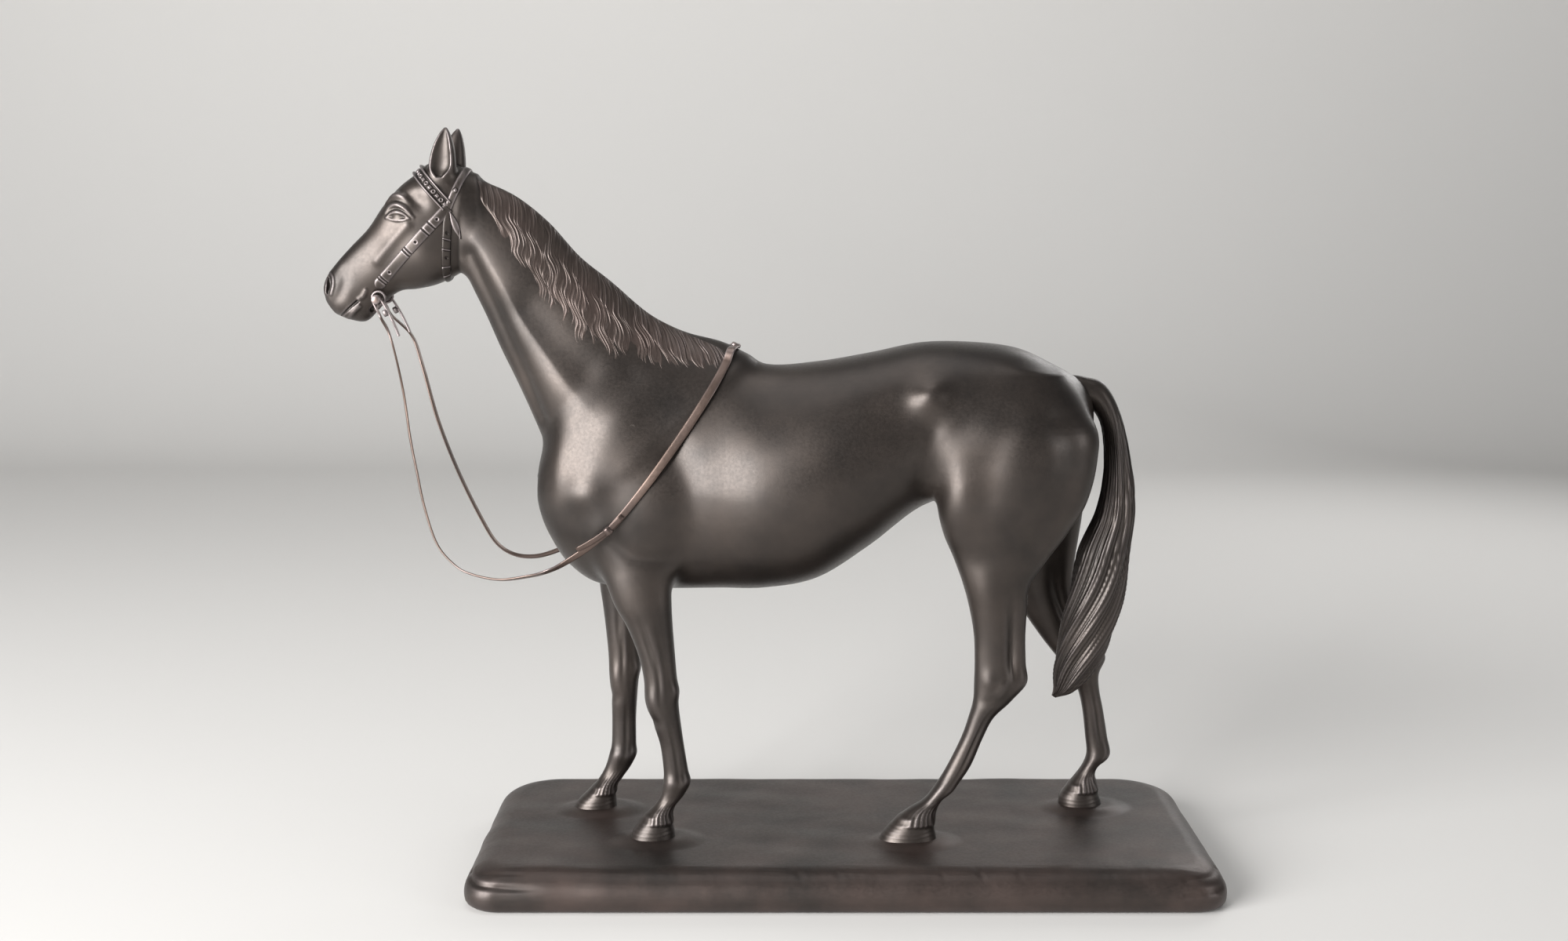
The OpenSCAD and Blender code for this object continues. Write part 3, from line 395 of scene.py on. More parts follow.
def vertex_normals(points, quads):
    """Unit normals: the sum of the crossed diagonals of the quads round each point."""
    corner = points[quads]
    face = np.cross(corner[:, 2] - corner[:, 0], corner[:, 3] - corner[:, 1])
    total = np.stack([np.bincount(quads.ravel(), np.repeat(face[:, k], 4), len(points)) for k in range(3)], 1)
    return total / np.maximum(np.linalg.norm(total, axis=1, keepdims=True), 1e-12)


# Its value drives the rubbed tone with its painted highlight on what stands proud and the painted shade in the
# recesses
def edge_wear_highlight_shade(points, quads, rounds=3):
    """How sharply each point stands proud of its neighbours, per mm, smoothed over the surface.

    It is the gap from a point to the mean of its neighbours along the normal, over the square of their distance.
    """
    a = quads.ravel()
    b = np.roll(quads, -1, axis=1).ravel()
    count = np.maximum(np.bincount(a, minlength=len(points)) + np.bincount(b, minlength=len(points)), 1)
    def mean(there, back):
        return (np.bincount(a, there, len(points)) + np.bincount(b, back, len(points))) / count
    reach = np.sum((points[a] - points[b]) ** 2, 1)
    around = np.stack([mean(points[b, k], points[a, k]) for k in range(3)], 1)
    proud = np.sum((points - around) * vertex_normals(points, quads), 1) / np.maximum(mean(reach, reach), 1e-6)
    for _ in range(rounds):
        proud = 0.5 * proud + 0.5 * mean(proud[b], proud[a])
    return proud


# Swellings on both sides: x, y, z, radius along x, y, z, turn in the x-z plane in degrees, height
SWELLINGS = [
    (-147, 36, 204, 12, 15, 11, 0, 3.0),        # point of the shoulder
    (-139, 36, 184, 9, 14, 14, 0, 1.6),         # upper arm
    (-108, 42, 195, 18, 18, 20, 0, 2.6),        # triceps
    (-95, 36, 160, 9, 12, 9, 0, 2.0),           # elbow
    (-46, 50, 214, 38, 28, 34, 0, 2.8),         # barrel
    (32, 50, 244, 20, 20, 18, 0, -2.6),         # flank hollow
    (47, 42, 260, 10, 15, 8.5, 35, 4.2),        # point of the hip
    (70, 44, 264, 16, 16, 11, 0, -0.6),         # hollow behind the hip
    (61, 48, 205, 11, 18, 25, 0, 3.6),          # stifle
    (98, 48, 226, 26, 18, 26, 0, 1.8),          # thigh
    (-168, 14, 190, 9, 10, 17, 0, 1.8),         # breast
    (-128, 34, 246, 16, 14, 18, 40, 1.2),       # shoulder blade
    (-235, 17, 331, 11, 14, 11, 0, 1.2),        # jowl
    (-240.5, 17, 367, 6.5, 8, 4.6, -35, -1.7),  # hollow above the eye
    (-234.5, 16, 373, 5, 8, 5, 0, 0.8)]         # temple
# Furrows on both sides: points x, z, half width, depth; a depth below zero is a ridge
FURROWS = [
    ([(-122, 268), (-138, 252), (-150, 232), (-156, 214)], 9.0, 0.9),             # before the shoulder
    ([(-97, 226), (-89, 210), (-86, 190), (-87, 163)], 10.0, 1.8),                # behind the triceps
    ([(-212, 336), (-198, 304), (-185, 273), (-174, 244)], 5.0, 1.9),             # jugular furrow
    ([(-178, 306), (-164, 289), (-148, 274)], 12.0, 1.8),                         # side of the neck
    ([(48, 240), (45, 222), (43, 208)], 7.0, 1.6),                                # flank fold
    ([(118, 246), (124, 228), (121, 202), (110, 170)], 7.0, 1.3),                 # behind the thigh
    ([(90, 246), (82, 226), (79, 206)], 9.0, 0.8),                                # across the thigh
    ([(-132, 178), (-118, 168), (-100, 166)], 5.0, 1.3),                          # above the forearm
    ([(-246, 353), (-255, 343.5), (-264, 333.5)], 3.2, -0.9),                     # face bone
    ([(-284.6, 328), (-283.8, 321.5), (-286.4, 314.6), (-289.6, 310.5)], 3.2, 0.9)]# behind the nostril
# Marks on fore and hind legs: place from the back (-1) to the front (1), height, half widths, height of mark
FORE_MARKS = [
    (0.25, 118, 0.18, 14, -0.7), (0.05, 98, 0.16, 13, -0.6), (-0.4, 110, 0.18, 18, -0.6),
    (0.55, 84, 0.4, 7, 0.8), (0.8, 71, 0.5, 3.5, -0.5), (-0.9, 88, 0.3, 5, 1.2), (-0.2, 50, 0.2, 17, -0.5),
    (-0.7, 34, 0.5, 4, 0.7), (0.4, 34, 0.5, 4, 0.5), (0.2, 24, 0.6, 4, -0.3)]
HIND_MARKS = [
    (0.35, 146, 0.45, 20, 1.2), (-0.45, 126, 0.22, 24, -2.4), (-0.42, 108, 0.2, 10, -1.3),
    (0.5, 96, 0.3, 6, 0.8), (-0.1, 92, 0.25, 6, 0.8), (-0.9, 94, 0.3, 5, 0.6), (0.2, 84, 0.5, 3, -0.4),
    (-0.2, 56, 0.18, 18, -0.8), (-0.7, 30, 0.5, 4, 0.7), (0.4, 31, 0.5, 4, 0.5), (0.1, 22, 0.6, 3, -0.3)]
# Above this height the legs' own marks have faded out, over this length
LEG_MARKS_TOP, LEG_MARKS_FADE = 172.0, 14.0
# Hair over the coronet: the heights between which it starts and ends, and its strands round the leg
HAIR_FOOT, HAIR_TOP, STRANDS = (8.5, 11.0), (17.0, 26.0), 22
# Coronet's height and rise behind, and where the hoof's growth rings end and how high they are
CORONET_Z, CORONET_RISE = 13.8, 0.35
HOOF_TOP, HOOF_RING_RISE = (9.0, 12.0), 0.05


def ripple(value, *waves):
    """A repeatable uneven line: the mean of sines, each given by its wavelength and phase."""
    return sum(np.sin(2 * np.pi * value / length + phase) for length, phase in waves) / len(waves)


def swelling_height(points):
    """Sum of bell-shaped swellings, each height * exp(-(dx/rx)^2 - (dy/ry)^2 - (dz/rz)^2) in its own axes."""
    total = np.zeros(len(points))
    for x, y, z, rx, ry, rz, turn, height in SWELLINGS:
        dx, dy, dz = points[:, 0] - x, np.abs(points[:, 1]) - y, points[:, 2] - z
        c, s = math.cos(math.radians(turn)), math.sin(math.radians(turn))
        total += height * np.exp(-((c * dx + s * dz) / rx) ** 2 - (dy / ry) ** 2 - ((c * dz - s * dx) / rz) ** 2)
    return total


def path_distance(points, path):
    """Distance of each point to the nearest stretch of a path, in any number of dimensions."""
    path = spline(path, 4)
    a, run = path[:-1], np.diff(path, axis=0)
    t = np.einsum("nsk,sk->ns", points[:, None] - a, run) / np.sum(run ** 2, 1)
    gap = points[:, None] - a - np.clip(t, 0, 1)[..., None] * run
    return np.sqrt(np.sum(gap ** 2, 2).min(1))


def furrow_height(points):
    """Soft furrows on the sides: -depth * exp(-(distance/half width)^2), fading towards the middle plane."""
    total = np.zeros(len(points))
    sides = smooth_step(np.abs(points[:, 1]), 5, 13)
    for path, width, depth in FURROWS:
        total -= depth * np.exp(-(path_distance(points[:, [0, 2]], path) / width) ** 2) * sides
    return total


def leg_height(points, name, marks):
    """Tendons, joints, hair and hoof rings of one leg, from its place across and its height."""
    whole, low = points, points[:, 2] < LEG_MARKS_TOP
    points = points[low]
    x, y, z = points.T
    distance = loft_distance(FORMS[name], x, y, z)
    row, offset, _ = section_at(FORMS[name], x, z)
    fore = offset / (section_length(row) / 2)
    out = (y - row[:, MIDDLE_Y]) / row[:, HALF]
    total = np.zeros(len(points))
    for place, height, half_place, half_height, rise in marks:
        total += rise * np.exp(-((fore - place) / half_place) ** 2 - ((z - height) / half_height) ** 2)
    angle = np.arctan2(out, -fore)
    hair = smooth_step(z, *HAIR_FOOT) * (1 - smooth_step(z, *HAIR_TOP)) * smooth_step(-fore, -0.75, 0.1)
    strands = 0.5 + 0.5 * np.sin(STRANDS * angle + 0.9 * np.sin(z * 0.45) + z * 0.4 + np.sin(5 * angle))
    total += hair * (0.55 + 0.4 * strands)
    total += CORONET_RISE * np.exp(-((z - CORONET_Z) / 1.3) ** 2) * smooth_step(fore, -0.2, 0.4)
    rings = ripple(z + 0.7 * fore + 0.35 * np.sin(3 * angle), (3.3, 0), (2.1, 1))
    total += HOOF_RING_RISE * rings * (1 - smooth_step(z, *HOOF_TOP))
    on_leg = np.exp(-(np.maximum(np.abs(distance) - 1, 0) / 3) ** 2)
    height = np.zeros(len(whole))
    height[low] = total * on_leg * (1 - smooth_step(z, LEG_MARKS_TOP - LEG_MARKS_FADE, LEG_MARKS_TOP))
    return height


def skin_height(points):
    """All the modelling on the horse's skin."""
    total = swelling_height(points) + furrow_height(points)
    for name, marks in (("near_fore", FORE_MARKS), ("off_fore", FORE_MARKS),
                        ("near_hind", HIND_MARKS), ("off_hind", HIND_MARKS)):
        total += leg_height(points, name, marks)
    return total


def in_frame(points):
    """Millimetres from the plinth's top to metres in the frame."""
    return (np.asarray(points, float) + (0, 0, PLINTH_TOP)) * MM


def add_piece(name, points, faces, material, body="statue", nodes=(), slot="bronze_dark"):
    """A smooth-shaded mesh piece that rides on a body and stands for CAD nodes."""
    mesh = bpy.data.meshes.new(name)
    mesh.from_pydata(in_frame(points).tolist(), [], [list(f) for f in faces])
    mesh.polygons.foreach_set("use_smooth", np.ones(len(mesh.polygons), bool))
    # Curvature per point: its proud side gives the rubbed tone with a painted highlight, its hollow side the
    # painted shade
    mesh.attributes.new("wear_highlight_shade", "FLOAT", "POINT").data.foreach_set(
        "value", edge_wear_highlight_shade(np.asarray(points), quads_of(faces)).astype(np.float32))
    mesh.materials.append(material)
    mesh.update()
    piece = bpy.data.objects.new(name, mesh)
    bpy.context.scene.collection.objects.link(piece)
    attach(piece, body)
    if nodes:
        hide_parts(*nodes)
    return piece


def cut_at(piece, planes):
    """Cuts a piece at planes given by a point and the normal of the side that goes, and closes the cuts flat."""
    shape = bmesh.new()
    shape.from_mesh(piece.data)
    for point, normal in planes:
        done = bmesh.ops.bisect_plane(shape, geom=shape.verts[:] + shape.edges[:] + shape.faces[:], dist=1e-7,
                                      plane_co=in_frame([point])[0], plane_no=normal, clear_outer=True)
        rim = [e for e in done["geom_cut"] if isinstance(e, bmesh.types.BMEdge)]
        made = bmesh.ops.edgeloop_fill(shape, edges=rim)
        for face in made["faces"]:
            face.smooth = False
        for e in rim:
            e.smooth = False
    shape.to_mesh(piece.data)
    shape.free()


def add_casting(name, grid, material, node, planes):
    """One casting: the skin of its joined forms, raised and cut by the modelling, and parted at its planes."""
    points, quads = skin(*grid)
    normals = vertex_normals(points, quads)
    points = points + normals * skin_height(points)[:, None]
    cut_at(add_piece(name, points, quads.tolist(), material, nodes=(node,)), planes)


def tube_faces(rings, sides, closed_ends=True):
    """Quads between rings of equal sides, with an end face at each end."""
    i, k = np.meshgrid(np.arange(rings - 1), np.arange(sides), indexing="ij")
    a, b = i * sides + k, i * sides + (k + 1) % sides
    faces = np.stack([a, b, b + sides, a + sides], -1).reshape(-1, 4).tolist()
    if closed_ends:
        faces += [list(range(sides))[::-1], list(range((rings - 1) * sides, rings * sides))]
    return faces


def facing_out(points, faces):
    """The faces, turned over if the closed surface would be inside out."""
    corner = np.asarray(points)[quads_of(faces)]
    volume = np.sum(corner[:, 0] * np.cross(corner[:, 2] - corner[:, 0], corner[:, 3] - corner[:, 1]))
    return faces if volume > 0 else [f[::-1] for f in faces]


def joined(shells):
    """Several closed shells as one list of points and faces."""
    points, faces, count = [], [], 0
    for p, f in shells:
        f = facing_out(p, f)
        faces += [[k + count for k in face] for face in f]
        points.append(p)
        count += len(p)
    return np.vstack(points), faces


def linear(code):
    """sRGB hex to linear colour."""
    c = np.array([int(code[k:k + 2], 16) for k in (1, 3, 5)]) / 255
    return tuple(np.where(c <= 0.04045, c / 12.92, ((c + 0.055) / 1.055) ** 2.4)) + (1.0,)


def add(tree, kind, inputs=None, **settings):
    """Adds a node, sets its settings, and sets or links its inputs by name or number."""
    item = tree.nodes.new(kind)
    for key, value in settings.items():
        setattr(item, key, value)
    for key, value in (inputs or {}).items():
        if isinstance(value, bpy.types.NodeSocket):
            tree.links.new(value, item.inputs[key])
        else:
            item.inputs[key].default_value = value
    return item


def per_mm(across):
    """Scale of a pattern whose features are so many mm across."""
    return 1 / (across * MM)


def new_material(name):
    """An empty node material and its tree."""
    material = bpy.data.materials.new(name)
    material.use_nodes = True
    material.node_tree.nodes.clear()
    return material, material.node_tree


# Patina: size of its clouds in mm, and of the cast grain, which is finer on real bronze and drawn so as to show
CLOUDS, GRAIN, GRAIN_DEPTH = 38, 1.6, 0.1
# Tone of the painted shade in the recesses, and the share of bright metal under the wax
PAINTED_RECESS_SHADE, METAL = "#12100e", 0.8
# Steel: lathe rings in mm, drawn coarse enough to show, their depth, the size of stains, and its two tones
LATHE_RINGS, RING_DEPTH, STAINS = 2.0, 0.05, 3
STEEL_TONES = "#8f9194", "#6d655c"


def bronze(name, dark, brown, worn_highlight_tone, roughness, rub_highlight_strength, shade):
    """Sand-cast bronze under a brushed, waxed brown-black patina.

    Cloudy shifts between the dark and the brown tone, rubbed brown with a painted highlight on what stands
    proud, painted shade darkening the recesses, satin gloss that varies a little, and a faint cast grain.
    """
    material, tree = new_material(name)
    where = add(tree, "ShaderNodeTexCoord").outputs["Object"]
    cloud = add(tree, "ShaderNodeTexNoise", {"Vector": where, "Scale": per_mm(CLOUDS), "Detail": 4.0,
                                             "Roughness": 0.55})
    tone = add(tree, "ShaderNodeMapRange", {"Value": cloud.outputs["Fac"], "From Min": 0.3, "From Max": 0.74})
    base = add(tree, "ShaderNodeMix", {"Factor": tone.outputs["Result"], "A": dark, "B": brown}, data_type="RGBA")
    proud = add(tree, "ShaderNodeAttribute", attribute_name="wear_highlight_shade")
    # Rubbed tone on what stands proud: real wear of the patina, partly a painted highlight on the edges
    shine = add(tree, "ShaderNodeMapRange", {"Value": proud.outputs["Fac"], "From Min": 0.02, "From Max": 0.22,
                                             "To Max": rub_highlight_strength})
    rubbed = add(tree, "ShaderNodeMix", {"Factor": shine.outputs["Result"], "A": base.outputs["Result"],
                                         "B": worn_highlight_tone}, data_type="RGBA")
    # Painted shade: the recesses are darkened towards a near-black tone by how far the surface is hollow
    recess_shade_mask = add(tree, "ShaderNodeMapRange", {"Value": proud.outputs["Fac"], "From Min": -0.2, "From Max": -0.02,
                                           "To Min": shade, "To Max": 0.0})
    colour = add(tree, "ShaderNodeMix", {"Factor": recess_shade_mask.outputs["Result"], "A": rubbed.outputs["Result"],
                                         "B": linear(PAINTED_RECESS_SHADE)}, data_type="RGBA")
    grain = add(tree, "ShaderNodeTexNoise", {"Vector": where, "Scale": per_mm(GRAIN), "Detail": 3.0})
    gloss = add(tree, "ShaderNodeMapRange", {"Value": grain.outputs["Fac"], "From Min": 0.3, "From Max": 0.7,
                                             "To Min": roughness - 0.05, "To Max": roughness + 0.06})
    bump = add(tree, "ShaderNodeBump", {"Height": grain.outputs["Fac"], "Strength": 0.25,
                                        "Distance": GRAIN_DEPTH * MM})
    metal = add(tree, "ShaderNodeBsdfPrincipled", {
        "Base Color": colour.outputs["Result"], "Metallic": METAL, "Roughness": gloss.outputs["Result"],
        "Normal": bump.outputs["Normal"], "Coat Weight": 0.3, "Coat Roughness": 0.35})
    add(tree, "ShaderNodeOutputMaterial", {"Surface": metal.outputs["BSDF"]})
    return material


def steel_material():
    """Turned mild steel, with fine lathe rings and a dull grey shine."""
    material, tree = new_material("turned mild steel")
    where = add(tree, "ShaderNodeTexCoord").outputs["Object"]
    rings = add(tree, "ShaderNodeTexWave", {"Vector": where, "Scale": per_mm(LATHE_RINGS), "Distortion": 0.6},
                bands_direction="Z")
    stain = add(tree, "ShaderNodeTexNoise", {"Vector": where, "Scale": per_mm(STAINS), "Detail": 4.0})
    colour = add(tree, "ShaderNodeMix", {"Factor": stain.outputs["Fac"], "A": linear(STEEL_TONES[0]),
                                         "B": linear(STEEL_TONES[1])}, data_type="RGBA")
    bump = add(tree, "ShaderNodeBump", {"Height": rings.outputs["Fac"], "Strength": 0.3,
                                        "Distance": RING_DEPTH * MM})
    metal = add(tree, "ShaderNodeBsdfPrincipled", {
        "Base Color": colour.outputs["Result"], "Metallic": 1.0, "Roughness": 0.38,
        "Normal": bump.outputs["Normal"]})
    add(tree, "ShaderNodeOutputMaterial", {"Surface": metal.outputs["BSDF"]})
    return material


def plain_material(name, colour, roughness):
    """A matt painted board for the stage."""
    material, tree = new_material(name)
    paint = add(tree, "ShaderNodeBsdfPrincipled", {"Base Color": colour, "Roughness": roughness})
    add(tree, "ShaderNodeOutputMaterial", {"Surface": paint.outputs["BSDF"]})
    return material


class HorseColours(bpy.types.PropertyGroup):
    """Tones of the patina and the stage."""
    dark: FloatVectorProperty(name="Dark patina", description="Deep tone of the patina", subtype="COLOR",
                              size=4, min=0, max=1, default=linear("#302b28"))
    brown: FloatVectorProperty(name="Brown patina", description="Warm tone of the patina", subtype="COLOR",
                               size=4, min=0, max=1, default=linear("#473f3a"))
    tan: FloatVectorProperty(name="Tan patina", description="Tone of the hair and plinth", subtype="COLOR",
                             size=4, min=0, max=1, default=linear("#524540"))
    # Rubbed tone: worn patina, partly a painted highlight on edges and what stands proud
    worn_highlight_tone: FloatVectorProperty(name="Rubbed bronze", description="Where the patina is rubbed thin",
                              subtype="COLOR", size=4, min=0, max=1, default=linear("#9a9090"))
    rein: FloatVectorProperty(name="Rein bronze", description="Brighter tone of the reins", subtype="COLOR",
                              size=4, min=0, max=1, default=linear("#756258"))
    floor: FloatVectorProperty(name="Floor", description="Tone of the stage", subtype="COLOR",
                               size=4, min=0, max=1, default=linear("#d9d7d4"))


class HorseSizes(bpy.types.PropertyGroup):
    """Sizes of the applied work and the gloss of the surface."""
    satin: FloatProperty(name="Satin", description="Roughness of the patina", default=0.41, min=0.1, max=0.8,
                         subtype="FACTOR")
    mane_rise: FloatProperty(name="Mane rise", description="Height of the mane's hair over the neck",
                             default=0.0008, min=0.0003, max=0.0015, unit="LENGTH")
    hair_width: FloatProperty(name="Hair width", description="Spacing of the mane's ridges", default=0.0027,
                              min=0.0012, max=0.005, unit="LENGTH")
    strap_rise: FloatProperty(name="Strap rise", description="Height of the bridle's straps", default=0.00125,
                              min=0.0005, max=0.002, unit="LENGTH")
    rein_width: FloatProperty(name="Rein width", description="Width of the rein strip", default=0.0038,
                              min=0.002, max=0.006, unit="LENGTH")
    rein_thick: FloatProperty(name="Rein thickness", description="Thickness of the rein strip", default=0.0012,
                              min=0.0006, max=0.002, unit="LENGTH")


def size(name):
    """One of the sizes, in millimetres."""
    return getattr(bpy.context.scene.horse_sizes, name) / MM


# Bronzes: dark, brown and rubbed tone, added roughness, strength of the rubbed tone with its painted highlight
# and of the painted shade in the recesses
FINISHES = {
    "patinated bronze": ("dark", "brown", "worn_highlight_tone", 0.0, 0.3, 0.5),
    "hair bronze": ("brown", "tan", "worn_highlight_tone", 0.06, 0.4, 0.25),
    "plinth bronze": ("dark", "tan", "worn_highlight_tone", 0.08, 0.35, 0.5),
    "strap bronze": ("dark", "brown", "worn_highlight_tone", 0.02, 0.6, 0.5),
    "rein bronze": ("tan", "rein", "worn_highlight_tone", -0.04, 0.8, 0.5)}


def finish(name):
    """One of the bronzes, made once."""
    tones = bpy.context.scene.horse_colours
    dark, brown, worn_highlight_tone, rougher, rub_highlight_strength, shade = FINISHES[name]
    return bpy.data.materials.get(name) or bronze(
        name, getattr(tones, dark), getattr(tones, brown), getattr(tones, worn_highlight_tone),
        bpy.context.scene.horse_sizes.satin + rougher, rub_highlight_strength, shade)


def neck_plane(side):
    """The slanting plane between neck and body; side 1 takes the neck away and -1 the body."""
    tilt = math.radians(NECK_JOINT_TILT)
    return ((NECK_JOINT[0], 0, NECK_JOINT[1]), (-side * math.sin(tilt), 0, side * math.cos(tilt)))


# Plinth: height and run of its upper rounding, radius of its lower edge, wall, rib across the underside
PLINTH_EDGE, PLINTH_RUN, PLINTH_FOOT, PLINTH_WALL, PLINTH_RIB = 16.0, 17.0, 6.5, 8.0, 12.0
# Corners of the plinth in turn: sides in x and y, and radius
PLINTH_CORNERS = ((1, 1, 32.0), (-1, 1, 32.0), (-1, -1, 19.0), (1, -1, 19.0))
# Folds left in the soft edge at the near corners: points x, y, z from the plinth's foot, half width, depth
PLINTH_FOLDS = [
    ([(-212, -62, 17), (-207.5, -79, 16.5), (-191, -85, 15.5), (-160, -85.2, 14.5)], 1.8, 1.3),
    ([(-209.5, -65.5, 21.5), (-203, -76, 21), (-180, -78.8, 20.5)], 1.8, 0.7),
    ([(212.2, -64, 14), (206.3, -81.2, 13), (186, -86.2, 12)], 1.7, 1.1),
    ([(209.6, -62, 19), (202, -76.8, 19), (188, -81.6, 18.5)], 1.7, 0.9)]
# Where the folds fade out towards the middle of the plinth
FOLD_FADE = (162, 196)
# Hooves on the plinth: x, y; and the mounds round them: shift back, half sizes, rise and where they fade
HOOVES = ((-111, -28), (-149, 26.5), (38, -30.5), (147, 30))
MOUND_BACK, MOUND_HALF, MOUND_RISE, MOUND_FADE = 3, (24, 17), 2.5, (0.6, 1.25)
# How far the modelled skin lies inside the plinth's box, and the half width of the worked strip at the near edge
SKIN_DEPTH, NEAR_STRIP = 0.9, 9


def rounded_outline(inset, count=(290, 26, 110)):
    """Points round the plinth, drawn in by inset: an arc at each corner and a straight run to the next."""
    low, high = PLINTH_LOW[:2] + inset, PLINTH_HIGH[:2] - inset
    shrink = 1 - inset / (PLINTH_HIGH[1] - PLINTH_LOW[1]) * 2
    arcs = []
    for k, (sx, sy, radius) in enumerate(PLINTH_CORNERS):
        angle = (k + np.linspace(0, 1, count[1])) * np.pi / 2
        radius = radius * shrink
        middle = [h - radius if side > 0 else l + radius for h, l, side in zip(high, low, (sx, sy))]
        arcs.append(np.stack([middle[0] + radius * np.cos(angle), middle[1] + radius * np.sin(angle)], 1))
    parts = []
    for k, arc in enumerate(arcs):
        t = np.linspace(0, 1, count[2 * (k % 2)], endpoint=False)[1:, None]
        parts += [arc, arc[-1] + (arcs[(k + 1) % 4][0] - arc[-1]) * t]
    return np.vstack(parts)


def welded(points, faces):
    """A surface with points that coincide made one and faces that this closes left out, and the points kept."""
    kept, where = np.unique(np.round(points, 3), axis=0, return_index=True, return_inverse=True)[1:]
    where = where.ravel().tolist()
    faces = [tuple(dict.fromkeys(where[k] for k in face)) for face in faces]
    return points[kept], [face for face in faces if len(face) > 2], kept


def plinth_surface():
    """The plinth: its profile carried round the outline, from the hollow's ceiling out, up and over the top.

    The profile is a flat ceiling, the inner wall, a flat rim, a quarter circle, a quarter ellipse and the top.
    Its outside is then moved along the normals by the modelled unevenness.
    """
    half_width = (PLINTH_HIGH[1] - PLINTH_LOW[1]) / 2
    lower, upper = np.linspace(0, np.pi / 2, 7), np.linspace(0, np.pi / 2, 26)
    ceiling = PLINTH_TOP - PLINTH_WALL
    inside = [(d, ceiling) for d in np.linspace(half_width, PLINTH_WALL, 6)] + [(PLINTH_WALL, 0.0)]
    foot = [(PLINTH_FOOT * (1 - math.sin(t)), PLINTH_FOOT * (1 - math.cos(t))) for t in lower]
    edge = [(PLINTH_RUN * (1 - math.cos(t)), PLINTH_TOP - PLINTH_EDGE * (1 - math.sin(t))) for t in upper]
    top = [(d, PLINTH_TOP) for d in PLINTH_RUN + (half_width - PLINTH_RUN) * np.linspace(0, 1, 48)[1:] ** 1.2]
    profile = inside + foot + edge + top
    rings = [np.column_stack([outline, np.full(len(outline), z)])
             for outline, z in ((rounded_outline(d), z) for d, z in profile)]
    sides = len(rings[0])
    points, faces, kept = welded(np.vstack(rings), tube_faces(len(rings), sides, closed_ends=False))
    faces = facing_out(points, faces)
    outer = np.repeat(np.arange(len(rings)) > len(inside), sides)[kept]
    lift = plinth_unevenness(points) * outer * smooth_step(points[:, 2], 0, 6)
    points = points + vertex_normals(points, quads_of(faces)) * lift[:, None]
    points[:, :2] = np.clip(points[:, :2], PLINTH_LOW[:2], PLINTH_HIGH[:2])
    return points - (0, 0, PLINTH_TOP), faces


def plinth_rib():
    """The rib across the underside: a block that runs a little into the ceiling and the walls."""
    run, bite = PLINTH_RIB / 2, 0.5
    y = PLINTH_LOW[1] + PLINTH_WALL - bite, PLINTH_HIGH[1] - PLINTH_WALL + bite
    corners = np.array([(-run, y[0]), (run, y[0]), (run, y[1]), (-run, y[1])])
    rings = [np.column_stack([corners, np.full(4, z)]) for z in (0.0, PLINTH_TOP - PLINTH_WALL + bite)]
    return np.vstack(rings) - (0, 0, PLINTH_TOP), tube_faces(2, 4)


def plinth_unevenness(points):
    """Height of the modelled skin: swells, small lumps, mounds at the hooves, tool marks and corner folds."""
    x, y, z = points.T
    swells = 0.5 * ripple(x + 0.6 * y, (97, 0), (61, 1.3)) * ripple(y - 0.3 * x, (73, 0.4), (41, 2))
    lumps = 0.07 * ripple(x - 0.7 * y, (31, 0.3), (22.7, 1.9)) * ripple(y + 0.5 * x, (37, 1), (24.3, 0.2))
    total = -SKIN_DEPTH + swells + lumps
    for hx, hy in HOOVES:
        far = np.hypot((x - hx - MOUND_BACK) / MOUND_HALF[0], (y - hy) / MOUND_HALF[1])
        total += MOUND_RISE * (1 - smooth_step(far, *MOUND_FADE))
    near_edge = np.exp(-((y - PLINTH_LOW[1] - NEAR_STRIP) / NEAR_STRIP) ** 2)
    waves = ripple(x, (83, 0.5), (47, 1.9), (29, 0.2))
    strokes = ripple(y + 1.2 * z + 0.04 * x, (5.3, 0), (3.1, 1.2))
    strokes = strokes * smooth_step(ripple(x, (47, 0.6), (21, 1)), -0.2, 0.5)
    dabs = ripple(x + 0.4 * y, (13.7, 0), (6.1, 1.2), (41, 0.6)) * ripple(x, (67, 1), (37, 2))
    dabs = np.maximum(dabs, 0) * np.exp(-((z - PLINTH_TOP + 2.5) / 3) ** 2)
    total += near_edge * (0.3 * waves + 0.14 * strokes - 0.5 * dabs)
    for path, width, depth in PLINTH_FOLDS:
        total -= depth * np.exp(-(path_distance(points, path) / width) ** 2) * smooth_step(np.abs(x), *FOLD_FADE)
    return total


class HORSE_OT_plinth(bpy.types.Operator):
    """Adds the hollow plinth with its uneven modelled top"""
    bl_idname = "horse.plinth"
    bl_label = "Plinth"

    def execute(self, context):
        add_piece("plinth", *joined([plinth_surface(), plinth_rib()]), finish("plinth bronze"), "statue",
                  ("base_plinth",), "bronze_plinth")
        return {"FINISHED"}


class HORSE_OT_body(bpy.types.Operator):
    """Adds the body casting"""
    bl_idname = "horse.body"
    bl_label = "Body"

    def execute(self, context):
        add_casting("body_casting", casting_grid("body"), finish("patinated bronze"), "torso",
                    [neck_plane(1), ((0, 0, LEG_JOINT_Z), (0, 0, -1))])
        return {"FINISHED"}


class HORSE_OT_neck(bpy.types.Operator):
    """Adds the neck casting"""
    bl_idname = "horse.neck"
    bl_label = "Neck"

    def execute(self, context):
        add_casting("neck_casting", casting_grid("neck"), finish("patinated bronze"), "neck",
                    [neck_plane(-1), ((HEAD_JOINT_X, 0, 0), (-1, 0, 0))])
        return {"FINISHED"}


